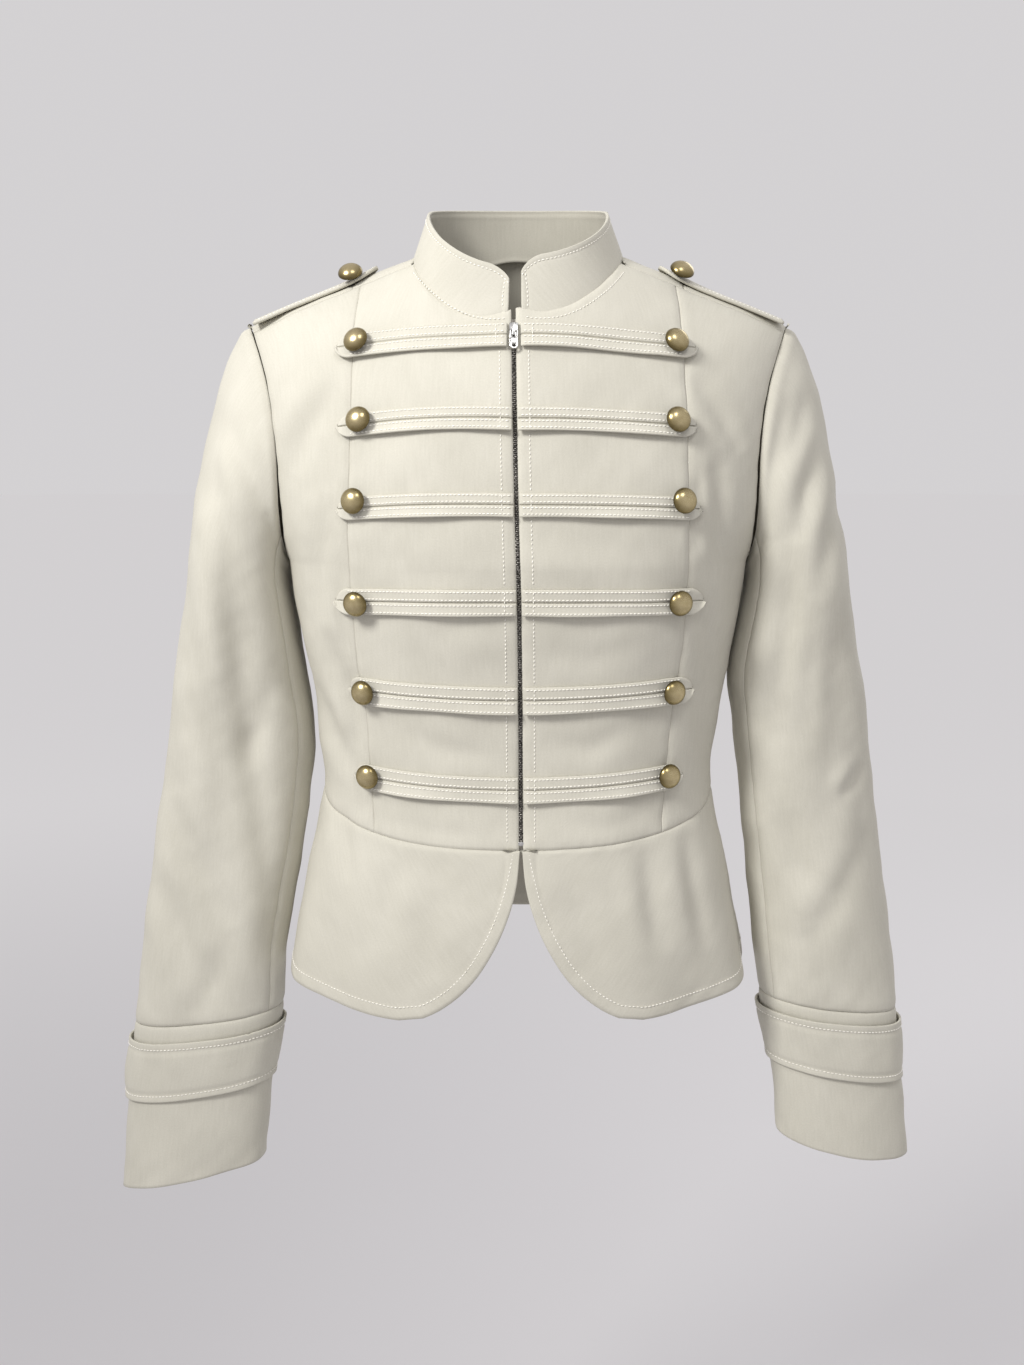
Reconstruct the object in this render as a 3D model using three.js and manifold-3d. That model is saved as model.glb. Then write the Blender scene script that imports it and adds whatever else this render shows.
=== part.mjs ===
// Fitted zip-up jacket, hollow and open at neck, hem, cuffs and armholes.
// Millimetres. +Z up, the front faces -Y, +X to the viewer's right.
// The origin is the centre of the neck, level with the base of the collar's sides.
import * as THREE from "three";
import Module from "manifold-3d";

const wasm = await Module();
wasm.setup();

// ---------- sizes ----------
const CLOTH = 1.4; // twill with its facing, one wall
const SEAM = 0.17; // each seam edge is drawn back by this much
const SQUARE = 0.85; // exponent of the body's oval, below 1 is squarer
const UNDERARM_Z = -220;
const SHOULDER_HALF = 192; // half width of the shoulder line
const NECK_HALF = 74; // half width of the neck at the shoulders
const NECK_FRONT = 75; // the neckline seen from above: reach forwards
const NECK_BACK = 46; // and backwards
const NECK_SIDE_Z = -8; // height of the neckline's sides
const BACK_ARCH = 0.8; // exponent of the upper back's arch, rounder below 1
const SHOULDER_SLOPE = 0.397; // fall of the shoulder per mm outwards
const YOKE_TURN = 75; // the shoulder seam lies forward of the ridge, degrees of the arch
const HEM_SIDE_Z = -519;
const HEM_FRONT_DROP = 15.5;
const ZIP_HALF = 1.5; // half of the opening in which the teeth show
const DEG = Math.PI / 180;

// body sections: half width, depth in front, depth behind
const BODY = [
  { z: -220, half: 165, front: 106, back: 90 },
  { z: -262, half: 160, front: 100, back: 84 },
  { z: -290, half: 155, front: 95, back: 79 },
  { z: -314, half: 150.5, front: 92, back: 76 },
  { z: -350, half: 146, front: 89, back: 74 },
  { z: -382, half: 144, front: 89, back: 75 },
  { z: -405, half: 148, front: 92, back: 79 },
  { z: -445, half: 157.5, front: 101, back: 90 },
  { z: -485, half: 166, front: 109, back: 100 },
  { z: -518, half: 172, front: 114, back: 106 },
  { z: -545, half: 176, front: 117, back: 110 },
];

// the princess seam of each front, distance from the middle
const PRINCESS = [
  { z: -10, x: 109 },
  { z: -60, x: 111 },
  { z: -140, x: 113 },
  { z: -190, x: 114.5 },
  { z: -232, x: 114.5 },
  { z: -292, x: 111.5 },
  { z: -320, x: 107.5 },
  { z: -352, x: 105 },
  { z: -400, x: 101.5 },
];

// the seam between centre back and side back
const BACK_SEAM = [
  { z: 0, x: 120 },
  { z: -60, x: 112 },
  { z: -140, x: 104 },
  { z: -232, x: 94 },
  { z: -320, x: 78 },
  { z: -400, x: 72 },
];

// the zip wanders a little from the middle
const ZIP_LINE = [
  { z: -40, x: -3.6 },
  { z: -175, x: -1.6 },
  { z: -240, x: 0.2 },
  { z: -310, x: 1.2 },
  { z: -415, x: 1.8 },
];

// rounded front corners of the peplum: front edge, distance from the zip line
const PEPLUM_EDGE = [
  { z: -414, x: 0.9 },
  { z: -440, x: 3.6 },
  { z: -461, x: 9.5 },
  { z: -483, x: 19.5 },
  { z: -505, x: 34.5 },
  { z: -520, x: 51 },
  { z: -528.5, x: 66 },
  { z: -531.8, x: 77 },
  { z: -532.5, x: 88 },
];

const hemZ = (angle) => HEM_SIDE_Z - HEM_FRONT_DROP * Math.max(0, Math.cos(angle * DEG)) ** 1.3;

// soft flutes of the peplum: angle round the body from the front, width, depth at the hem
const FLUTES = [
  { at: -142, wide: 12, deep: 4 },
  { at: -92, wide: 15, deep: -5 },
  { at: -66, wide: 8, deep: 3 },
  { at: -48, wide: 10, deep: -2.5 },
  { at: 42, wide: 8, deep: -3 },
  { at: 61, wide: 8, deep: 4 },
  { at: 82, wide: 9, deep: -4 },
  { at: 112, wide: 13, deep: 4 },
  { at: 150, wide: 14, deep: -4 },
  { at: 180, wide: 12, deep: 3 },
];

// straps: middle height at the zip and at the button, tip distance and button place by side
const STRAPS = [
  { zip: -69, out: -76, tall: 16, tipL: 121, tipR: 118, butL: 106, butR: 103, butZ: -74 },
  { zip: -123.5, out: -128, tall: 15, tipL: 120, tipR: 117, butL: 104, butR: 103, butZ: -125 },
  { zip: -179, out: -182, tall: 15, tipL: 120, tipR: 121, butL: 107, butR: 107, butZ: -177 },
  { zip: -243, out: -244, tall: 17, tipL: 124, tipR: 125, butL: 107, butR: 106, butZ: -244 },
  { zip: -310.5, out: -306, tall: 18, tipL: 118, tipR: 120, butL: 104, butR: 104, butZ: -306.5 },
  { zip: -373.5, out: -368, tall: 17.5, tipL: 114, tipR: 114, butL: 102, butR: 102, butZ: -367 },
];

// sleeve rings, inner and outer distance from the middle for each side (viewer's left and right),
// depth half, how far forward the middle lies, fall of the ring towards the outside
const SLEEVE = [
  { z: -256, inL: 165, outL: 246, inR: 165, outR: 245, deep: 56, ahead: -2, fall: 0.0 },
  { z: -300, inL: 158, outL: 253, inR: 157.5, outR: 253, deep: 51, ahead: -3, fall: 0.01 },
  { z: -350, inL: 153, outL: 260, inR: 161, outR: 261.5, deep: 45, ahead: -4, fall: 0.02 },
  { z: -408, inL: 158, outL: 270, inR: 168, outR: 270, deep: 40, ahead: 0, fall: 0.04 },
  { z: -464, inL: 167, outL: 278, inR: 174, outR: 277, deep: 37, ahead: 5, fall: 0.07 },
  { z: -517, inL: 176, outL: 285, inR: 180, outR: 283.5, deep: 34, ahead: 12, fall: 0.1 },
  { z: -560, inL: 178, outL: 289, inR: 185, outR: 286, deep: 32, ahead: 18, fall: 0.12 },
  { z: -616, inL: 186, outL: 295, inR: 192, outR: 289.5, deep: 31, ahead: 27, fall: 0.16 },
  { z: -680, inL: 191, outL: 299, inR: 195, outR: 294, deep: 30, ahead: 37, fall: 0.23 },
];
// heights of the sleeve's ends by side: cuff seam, band top, band bottom, cuff end
const CUFFS = {
  L: { seam: -560, bandTop: -572, bandEnd: -614, end: -676 },
  R: { seam: -550, bandTop: -559, bandEnd: -600, end: -656 },
};
// largest sleeve folds: angle round the sleeve (0 outside, 90 front), height, width in degrees,
// half length, depth (- is a trough), lean in degrees per mm
const SLEEVE_FOLDS = {
  L: [
    { at: 100, z: -330, wide: 20, long: 110, deep: -5, lean: 0.1 },
    { at: 55, z: -430, wide: 20, long: 80, deep: -4, lean: -0.25 },
    { at: 125, z: -470, wide: 18, long: 70, deep: 3, lean: 0.1 },
    { at: 290, z: -380, wide: 24, long: 110, deep: -4, lean: 0.1 },
  ],
  R: [
    { at: 110, z: -260, wide: 20, long: 70, deep: -5, lean: 0.1 },
    { at: 50, z: -360, wide: 22, long: 100, deep: -4, lean: 0.15 },
    { at: 95, z: -480, wide: 22, long: 80, deep: 3, lean: -0.1 },
    { at: 285, z: -400, wide: 24, long: 110, deep: -4, lean: 0.1 },
  ],
};

// ---------- small helpers ----------
// smooth reading of a table between its rows
function read(table, key, name, at) {
  const rows = table;
  const up = rows[0][key] < rows[rows.length - 1][key];
  const n = rows.length;
  let i = 0;
  while (i < n - 2 && (up ? at > rows[i + 1][key] : at < rows[i + 1][key])) i++;
  const slope = (a, b) => (rows[b][name] - rows[a][name]) / (rows[b][key] - rows[a][key]);
  const m0 = i > 0 ? 0.5 * (slope(i - 1, i) + slope(i, i + 1)) : slope(0, 1);
  const m1 = i < n - 2 ? 0.5 * (slope(i, i + 1) + slope(i + 1, i + 2)) : slope(n - 2, n - 1);
  const gap = rows[i + 1][key] - rows[i][key];
  const u = Math.min(1, Math.max(0, (at - rows[i][key]) / gap));
  const u2 = u * u;
  const u3 = u2 * u;
  return (
    (2 * u3 - 3 * u2 + 1) * rows[i][name] +
    (u3 - 2 * u2 + u) * gap * m0 +
    (-2 * u3 + 3 * u2) * rows[i + 1][name] +
    (u3 - u2) * gap * m1
  );
}
const bump = (d, wide) => Math.exp(-((d / wide) ** 2));
const mix = (a, b, t) => a + (b - a) * t;
const vec = (x, y, z) => new THREE.Vector3(x, y, z);

// A closed wall from a grid of outer points and their normals: the second skin lies `thick` inside.
// `ring` closes the grid round on itself.
function wall(points, normals, thick, ring = false) {
  const rows = points.length;
  const cols = points[0].length;
  const pos = [];
  for (let k = 0; k < 2; k++)
    for (let i = 0; i < rows; i++)
      for (let j = 0; j < cols; j++) {
        const p = points[i][j];
        const n = normals[i][j];
        const d = k * (typeof thick === "function" ? thick(i, j) : thick);
        pos.push(p.x - n.x * d, p.y - n.y * d, p.z - n.z * d);
      }
  const id = (k, i, j) => k * rows * cols + i * cols + (j % cols);
  const tri = [];
  const quad = (a, b, c, d) => tri.push(a, b, c, a, c, d);
  const last = ring ? cols : cols - 1;
  for (let i = 0; i < rows - 1; i++)
    for (let j = 0; j < last; j++) {
      quad(id(0, i, j), id(0, i, j + 1), id(0, i + 1, j + 1), id(0, i + 1, j));
      quad(id(1, i, j), id(1, i + 1, j), id(1, i + 1, j + 1), id(1, i, j + 1));
    }
  for (let j = 0; j < last; j++) {
    quad(id(0, 0, j), id(1, 0, j), id(1, 0, j + 1), id(0, 0, j + 1));
    quad(id(0, rows - 1, j + 1), id(1, rows - 1, j + 1), id(1, rows - 1, j), id(0, rows - 1, j));
  }
  if (!ring)
    for (let i = 0; i < rows - 1; i++) {
      quad(id(0, i + 1, 0), id(1, i + 1, 0), id(1, i, 0), id(0, i, 0));
      quad(id(0, i, cols - 1), id(1, i, cols - 1), id(1, i + 1, cols - 1), id(0, i + 1, cols - 1));
    }
  let g = new THREE.BufferGeometry();
  g.setAttribute("position", new THREE.BufferAttribute(new Float32Array(pos), 3));
  // turn the faces round where the grid runs the other way
  let volume = 0;
  const at = (v) => vec(pos[3 * v], pos[3 * v + 1], pos[3 * v + 2]);
  for (let t = 0; t < tri.length; t += 3)
    volume += at(tri[t]).dot(at(tri[t + 1]).cross(at(tri[t + 2])));
  if (volume < 0) for (let t = 0; t < tri.length; t += 3) [tri[t + 1], tri[t + 2]] = [tri[t + 2], tri[t + 1]];
  g.setIndex(tri);
  return g;
}

// normal of a surface function at (u, v), pointing away from `inside`
function normalOf(f, u, v, du, dv, inside) {
  const a = f(u + du, v).sub(f(u - du, v));
  const b = f(u, v + dv).sub(f(u, v - dv));
  const n = a.cross(b).normalize();
  const out = f(u, v).sub(inside);
  return n.dot(out) < 0 ? n.negate() : n;
}

// draw the edge rows and columns of a grid back from its neighbours
function drawBack(points, by, sides = "tblr") {
  const rows = points.length;
  const cols = points[0].length;
  const move = (p, q) => p.add(q.clone().sub(p).setLength(by));
  if (sides.includes("l")) for (const r of points) move(r[0], r[1]);
  if (sides.includes("r")) for (const r of points) move(r[cols - 1], r[cols - 2]);
  if (sides.includes("t")) for (let j = 0; j < cols; j++) move(points[0][j], points[1][j]);
  if (sides.includes("b")) for (let j = 0; j < cols; j++) move(points[rows - 1][j], points[rows - 2][j]);
  return points;
}

// ---------- the body's surface ----------
const ridgeZ = (x) => NECK_SIDE_Z - SHOULDER_SLOPE * (Math.abs(x) - NECK_HALF);
const sinPow = (a) => Math.sign(Math.sin(a)) * Math.abs(Math.sin(a)) ** SQUARE;
const cosPow = (a) => Math.sign(Math.cos(a)) * Math.abs(Math.cos(a)) ** SQUARE;

function flute(angle, z) {
  const down = Math.max(0, -400 - z) / 138;
  let sum = 0;
  for (const f of FLUTES) {
    let d = Math.abs(angle / DEG - f.at);
    d = Math.min(d, 360 - d);
    sum += f.deep * bump(d, f.wide);
  }
  return sum * down ** 1.3;
}

// Point of the body at an angle round it (0 front, 90 side, 180 back; - is viewer's left) and a
// height code v: above 0, degrees of the arch from the underarm level; below 0, mm under it.
function body(angle, v) {
  const s = angle * DEG;
  const behind = Math.cos(s) < 0;
  if (v <= 0) {
    const z = UNDERARM_Z + v;
    const half = read(BODY, "z", "half", z);
    const deep = read(BODY, "z", behind ? "back" : "front", z);
    const more = flute(s, z);
    return vec((half + more) * sinPow(s), -(deep + more) * cosPow(s), z);
  }
  const arch = v * DEG;
  const rise = Math.min(1, v / 90);
  const half = BODY[0].half + (SHOULDER_HALF - BODY[0].half) * (1 - (1 - rise) ** 4);
  const x = half * sinPow(s);
  const power = behind ? BACK_ARCH : 1;
  const z = UNDERARM_Z + (ridgeZ(x) - UNDERARM_Z) * Math.sin(arch) ** power;
  const deep = (behind ? BODY[0].back : BODY[0].front) * Math.max(0, Math.cos(arch)) ** power;
  return vec(x, -deep * cosPow(s), z);
}
const bodyNormal = (angle, v) => {
  const p = body(angle, v);
  return normalOf(body, angle, v, 0.5, 0.5, vec(p.x * 0.6, p.y * 0.2, Math.min(p.z, UNDERARM_Z)));
};
// the angle and height code of the front (or back) surface at a given x and z
function place(x, z, behind = false) {
  let v = z - UNDERARM_Z;
  let half;
  if (v > 0) {
    const share = Math.min(0.9999, (z - UNDERARM_Z) / (ridgeZ(x) - UNDERARM_Z));
    const arch = Math.asin(behind ? share ** (1 / BACK_ARCH) : share);
    v = arch / DEG;
    const rise = Math.min(1, v / 90);
    half = BODY[0].half + (SHOULDER_HALF - BODY[0].half) * (1 - (1 - rise) ** 4);
  } else half = read(BODY, "z", "half", z);
  const q = Math.min(1, (Math.abs(x) / half) ** (1 / SQUARE));
  let a = Math.asin(q) / DEG;
  if (behind) a = 180 - a;
  return [Math.sign(x || 1) * a, v];
}
const signedAngle = (x, half) => (Math.sign(x) * Math.asin((Math.abs(x) / half) ** (1 / SQUARE))) / DEG;
// height of the waist seam, lower in front
const waistZ = (angle) => -385 - 30 * Math.max(0, Math.cos(angle * DEG)) ** 1.1;
const waistV = (angle) => waistZ(angle) - UNDERARM_Z;
// the armhole: body angle at a height code; the arch's code runs 0..90 in front, and on the back
function armhole(v, behind) {
  const u = Math.min(1, Math.max(0, v / 90));
  const cut = (behind ? 24 : 28) * Math.sin(Math.PI * u ** 0.65);
  return behind ? 90 + cut : 90 - cut;
}
// from above, the neckline is an ellipse behind and a squarer curve in front
const neckPower = (x) => (x < 0 ? 2.75 : 2.25);
function inNeck(p) {
  const n = p.y > 0 ? 2 : neckPower(p.x);
  const reach = p.y > 0 ? NECK_BACK : NECK_FRONT;
  return (Math.abs(p.x) / NECK_HALF) ** n + (Math.abs(p.y) / reach) ** n < 1;
}
// the top of a column that stands at a body angle: neckline, or shoulder seam
function topV(angle, behind) {
  const seam = behind ? 180 - YOKE_TURN : YOKE_TURN;
  let lo = 1;
  let hi = seam;
  const over = (v) => inNeck(bodyAt(angle, v, behind));
  if (!over(hi)) return seam;
  for (let k = 0; k < 40; k++) {
    const m = (lo + hi) / 2;
    if (over(m)) hi = m;
    else lo = m;
  }
  return lo;
}
// the back surface runs over the ridge to the shoulder seam: codes past 90 come down the front
function bodyAt(angle, v, behind) {
  if (!behind || v <= 90) return body(angle, v);
  const side = Math.sign(angle || 1);
  return body(side * (180 - Math.abs(angle)), 180 - v);
}
function normalAt(angle, v, behind) {
  if (v > 86 && v < 94) {
    const p = body(angle, 80);
    return vec(SHOULDER_SLOPE * Math.sign(p.x) * Math.min(1, Math.abs(p.x) / 60), 0, 1).normalize();
  }
  if (!behind || v <= 90) return bodyNormal(angle, v);
  const side = Math.sign(angle || 1);
  return bodyNormal(side * (180 - Math.abs(angle)), 180 - v);
}

// A body panel between two seams given as angle(v), from the waist seam to its top.
// `fractions` are the places of its columns between the seams.
function panel(first, second, fractions, behind, rowsDown, rowsUp) {
  const points = [];
  const normals = [];
  const cols = fractions.map((f) => {
    const at = (v) => mix(first(v), second(v), f);
    let a = at(-150);
    for (let k = 0; k < 6; k++) a = at(waistV(a));
    let top = 60;
    for (let k = 0; k < 8; k++) top = topV(at(top), behind);
    return { at, bottom: waistV(a), top };
  });
  for (let i = 0; i <= rowsUp + rowsDown; i++) {
    const row = [];
    const nrow = [];
    for (const c of cols) {
      let v;
      if (i < rowsUp) {
        const u = i / rowsUp;
        v = mix(c.top, 62, THREE.MathUtils.smoothstep(u, 0, 0.65)) * (1 - u) ** 0.95;
      }
      else v = (c.bottom * (i - rowsUp)) / rowsDown;
      const a = c.at(v);
      row.push(bodyAt(a, v, behind));
      nrow.push(normalAt(a, v, behind));
    }
    points.push(row);
    normals.push(nrow);
  }
  return { points, normals };
}

// ---------- seams as angles ----------
const bySeam = (table, side, behind) => (v) => {
  let z = v <= 0 ? UNDERARM_Z + v : UNDERARM_Z + 175 * Math.sin(v * DEG);
  for (let k = 0; k < 3 && v > 0; k++) {
    const x = read(table, "z", "x", z);
    z = UNDERARM_Z + (ridgeZ(x) - UNDERARM_Z) * Math.sin(Math.min(v, 180 - v) * DEG);
  }
  const x = read(table, "z", "x", z);
  const rise = v > 0 ? Math.min(1, Math.min(v, 180 - v) / 90) : 0;
  const half =
    v > 0
      ? BODY[0].half + (SHOULDER_HALF - BODY[0].half) * (1 - (1 - rise) ** 4)
      : read(BODY, "z", "half", z);
  const a = Math.asin(Math.min(1, (x / half) ** (1 / SQUARE))) / DEG;
  return side * (behind ? 180 - a : a);
};
const zipAngle = (side) => (v) => {
  const z = v <= 0 ? UNDERARM_Z + v : UNDERARM_Z + 241 * Math.sin(v * DEG);
  const x = read(ZIP_LINE, "z", "x", z) + side * ZIP_HALF;
  const half = v > 0 ? 180 : read(BODY, "z", "half", z);
  return signedAngle(x, half);
};

const parts = [];
const CLOTHS = {
  twill: { color: 0xdcd6c8, roughness: 0.85, metalness: 0 },
  brass: { color: 0x9a8455, roughness: 0.35, metalness: 1 },
  silver: { color: 0xc9c9c6, roughness: 0.3, metalness: 1 },
  tape: { color: 0x3a3836, roughness: 0.8, metalness: 0 },
};
function add(name, geometry, kind) {
  const mesh = new THREE.Mesh(geometry, new THREE.MeshStandardMaterial(CLOTHS[kind]));
  mesh.name = name;
  parts.push(mesh);
}

// ---------- body panels ----------
const SIDES = [
  { key: "L", word: "left", sign: -1 },
  { key: "R", word: "right", sign: 1 },
];
for (const { word, sign } of SIDES) {
  const princess = bySeam(PRINCESS, sign, false);
  const zip = zipAngle(sign);
  // one column ends at the corner between neckline and shoulder seam
  const seamHalf = SHOULDER_HALF * 0.997;
  const corner = Math.asin((NECK_HALF / seamHalf) ** (1 / SQUARE)) / DEG;
  const f = (corner * sign - zip(YOKE_TURN)) / (princess(YOKE_TURN) - zip(YOKE_TURN));
  const front = panel(zip, princess, [0, 0.25 * f, 0.55 * f, 0.8 * f, 0.93 * f, f + 0.004, 1], false, 8, 7);
  add(`front_${word}`, wall(drawBack(front.points, SEAM), front.normals, CLOTH), "twill");

  const hole = (v) => sign * (v <= 0 ? 90 : armhole(v, false));
  const side = panel(princess, hole, [0, 0.25, 0.5, 0.75, 1], false, 8, 8);
  add(`side_front_${word}`, wall(drawBack(side.points, SEAM), side.normals, CLOTH), "twill");

  const seam = bySeam(BACK_SEAM, sign, true);
  const holeBack = (v) => {
    if (v <= 0) return sign * 90;
    return v <= 90 ? sign * armhole(v, true) : sign * (180 - armhole(180 - v, false));
  };
  const sideBack = panel(seam, holeBack, [0, 0.3, 0.65, 1], true, 8, 9);
  add(`side_back_${word}`, wall(drawBack(sideBack.points, SEAM), sideBack.normals, CLOTH), "twill");
}
{
  const left = bySeam(BACK_SEAM, -1, true);
  const right = bySeam(BACK_SEAM, 1, true);
  const seamHalf = SHOULDER_HALF * 0.997;
  const corner = 180 - Math.asin((NECK_HALF / seamHalf) ** (1 / SQUARE)) / DEG;
  const top = 180 - YOKE_TURN;
  const f = (180 - corner) / (180 - right(top));
  const half = [0, 0.3 * f, 0.6 * f, 0.83 * f, 0.95 * f, f + 0.004, 1];
  const at = (k) => (v) => (k < 0 ? -180 + (180 + left(v)) * -k : 180 - (180 - right(v)) * k);
  const ks = [...half.slice(1).reverse().map((k) => -k), 0, ...half.slice(1)];
  const points = [];
  const normals = [];
  const columns = ks.map((k) => panel(at(k || 1e-6), at(k || 1e-6), [0, 1], true, 8, 9));
  for (let i = 0; i < columns[0].points.length; i++) {
    points.push(columns.map((c) => c.points[i][0]));
    normals.push(columns.map((c) => c.normals[i][0]));
  }
  add("back", wall(drawBack(points, SEAM), normals, CLOTH), "twill");
}

// ---------- peplum ----------
function peplum(first, last, cols, rows, edge) {
  const points = [];
  const normals = [];
  for (let i = 0; i <= rows; i++) {
    const row = [];
    const nrow = [];
    for (let j = 0; j <= cols; j++) {
      let a = mix(first, last, j / cols);
      let z = mix(waistZ(a), hemZ(a), i / rows);
      if (edge) [a, z] = edge(i / rows, j / cols);
      const v = z - UNDERARM_Z;
      row.push(body(a, v));
      nrow.push(bodyNormal(a, v));
    }
    points.push(row);
    normals.push(nrow);
  }
  return wall(drawBack(points, SEAM, "tlr"), normals, CLOTH);
}
for (const { word, sign } of SIDES) {
  // columns start on the rounded front edge, which runs from the waist to the hem
  const edge = (down, round) => {
    const start = round ** 1.35;
    const zEdge = mix(-414.5, -532.5, Math.min(1, start * 2.2) ** 0.8);
    const xEdge = read(PEPLUM_EDGE, "z", "x", Math.max(-532.5, zEdge));
    const zip = read(ZIP_LINE, "z", "x", -415);
    const guess = sign * mix(27, 90, Math.max(0, (start - 1 / 2.2) / (1 - 1 / 2.2)));
    const bottom = round < 1 / 2.2 ** (1 / 1.35) ? zEdge : hemZ(guess);
    const onEdge = signedAngle(zip + sign * xEdge, read(BODY, "z", "half", bottom));
    const far = mix(onEdge, sign * 90, Math.max(0, (start - 1 / 2.2) / (1 - 1 / 2.2)));
    const aBottom = start * 2.2 < 1 ? onEdge : far;
    const aTop = mix(signedAngle(zip + sign * 1.2, 150), sign * 90, round);
    const a = mix(aTop, aBottom, down);
    return [a, mix(waistZ(a), bottom, down)];
  };
  add(`peplum_front_${word}`, peplum(0, 90, 14, 5, edge), "twill");
}
add("peplum_back", peplum(90, 270, 18, 4, null), "twill");

// ---------- collar ----------
function neckPoint(turn) {
  const behind = Math.cos(turn) < 0;
  const x = NECK_HALF * Math.sin(turn);
  const n = neckPower(x);
  const ahead = Math.max(0, 1 - Math.abs(Math.sin(turn)) ** n) ** (1 / n);
  const y = behind ? -NECK_BACK * Math.cos(turn) : -NECK_FRONT * ahead;
  const across = (1 - (Math.abs(x) / (SHOULDER_HALF - 0.5)) ** (2 / SQUARE)) ** (SQUARE / 2);
  const power = behind ? BACK_ARCH : 1;
  const c = (Math.abs(y) / ((behind ? BODY[0].back : BODY[0].front) * across)) ** (1 / power);
  const z = UNDERARM_Z + (ridgeZ(x) - UNDERARM_Z) * Math.sqrt(1 - c * c) ** power;
  return vec(x, y, z);
}
const collarTop = (turn) => {
  const c = Math.cos(turn);
  const fall = turn > Math.PI ? 45.5 : 38.5;
  return c > 0 ? 21 - fall * c ** 1.1 : 21 + 9 * (-c) ** 0.7;
};
{
  const points = [];
  const normals = [];
  const start = { L: 5.4 * DEG, R: 1.6 * DEG };
  const cols = 26;
  const rows = 3;
  for (let i = 0; i <= rows; i++) {
    const row = [];
    for (let j = 0; j <= cols; j++) {
      const t = j / cols;
      const ease = t + 0.045 * Math.sin(2 * Math.PI * t) * -1;
      const turn = mix(start.R, 2 * Math.PI - start.L, ease);
      const base = neckPoint(turn).multiply(vec(0.99, 0.99, 1));
      const fromEnd = Math.min(turn - start.R, 2 * Math.PI - start.L - turn);
      const corner = Math.min(1, (fromEnd + 0.02) / 0.26);
      const tall = Math.sqrt(1 - (1 - corner) ** 2) * 0.5 + 0.5;
      const u = 1 - i / rows;
      const top = vec(base.x * 0.865, base.y * 0.91 - 1, collarTop(turn));
      row.push(base.clone().lerp(top, 0.022 + u * tall * 0.978).add(vec(0, 0, 1.25)));
    }
    points.push(row);
  }
  for (let i = 0; i <= rows; i++) {
    const nrow = [];
    for (let j = 0; j <= cols; j++) {
      const a = points[i][Math.min(cols, j + 1)].clone().sub(points[i][Math.max(0, j - 1)]);
      const b = points[Math.min(rows, i + 1)][j].clone().sub(points[Math.max(0, i - 1)][j]);
      const n = a.cross(b).normalize();
      const p = points[i][j];
      nrow.push(n.dot(vec(p.x, p.y + 15, 0)) < 0 ? n.negate() : n);
    }
    normals.push(nrow);
  }
  add("collar", wall(points, normals, 2.2), "twill");
}

// ---------- sleeves ----------
function armholeLoop(sign) {
  const pts = [];
  const N = 60;
  for (let k = 0; k <= N; k++) {
    const v = 90 * (1 - k / N) ** 1.4;
    pts.push(body(sign * armhole(v, false), v));
  }
  for (let k = 1; k <= N; k++) {
    const v = 90 * (k / N) ** 1.4;
    pts.push(body(sign * armhole(v, true), v));
  }
  const half = [0];
  for (let k = 1; k < pts.length; k++) half.push(half[k - 1] + pts[k].distanceTo(pts[k - 1]));
  return (round) => {
    // round 0..180 in front, 180..360 behind, each by its own length
    const front = round <= 180;
    const from = front ? 0 : half[N];
    const to = front ? half[N] : half[2 * N];
    const want = from + ((front ? round : round - 180) / 180) * (to - from);
    let i = front ? 0 : N;
    while (i < 2 * N - 1 && half[i + 1] < want) i++;
    return pts[i].clone().lerp(pts[i + 1], (want - half[i]) / (half[i + 1] - half[i]));
  };
}
const LOOPS = { L: armholeLoop(-1), R: armholeLoop(1) };
const CAP_END = -256;
function sleeveRing(key, sign, round, z) {
  const r = round * DEG;
  const inner = read(SLEEVE, "z", "in" + key, z);
  const outer = read(SLEEVE, "z", "out" + key, z);
  let push = 0;
  for (const f of SLEEVE_FOLDS[key]) {
    let d = Math.abs(round - f.at - f.lean * (z - f.z));
    d = Math.min(d, Math.abs(360 - d));
    push += f.deep * bump(d, f.wide) * bump(z - f.z, f.long);
  }
  const rx = (outer - inner) / 2 + push;
  const ry = read(SLEEVE, "z", "deep", z) + push;
  const dx = rx * Math.sign(Math.cos(r)) * Math.abs(Math.cos(r)) ** 0.92;
  const dy = -ry * Math.sign(Math.sin(r)) * Math.abs(Math.sin(r)) ** 0.92;
  const x = sign * ((outer + inner) / 2 + dx);
  const fall = read(SLEEVE, "z", "fall", z);
  return vec(x, dy - read(SLEEVE, "z", "ahead", z), z - fall * dx);
}
// code c: 0..1 the cap from armhole to the first ring, past 1 mm below it
function sleeve(key, sign, round, c) {
  if (c > 1) return sleeveRing(key, sign, round, CAP_END - (c - 1));
  const r = (round * Math.PI) / 180;
  const from = LOOPS[key](((round % 360) + 360) % 360);
  const to = sleeveRing(key, sign, round, CAP_END);
  const below = sleeveRing(key, sign, round, CAP_END - 6);
  const out = 0.5 + 0.5 * Math.cos(r);
  const side = Math.sin(r) ** 2;
  const t0 = vec(sign * (14 + 78 * out + 18 * side), (side ? -Math.sin(r) : 0) * 16, -14 - 44 * out - 46 * side);
  const reach = 40 + 150 * out ** 1.1;
  const t1 = below.sub(to).setLength(reach);
  const c2 = c * c;
  const c3 = c2 * c;
  return vec(0, 0, 0)
    .addScaledVector(from, 2 * c3 - 3 * c2 + 1)
    .addScaledVector(t0, c3 - 2 * c2 + c)
    .addScaledVector(to, -2 * c3 + 3 * c2)
    .addScaledVector(t1, c3 - c2);
}
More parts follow.
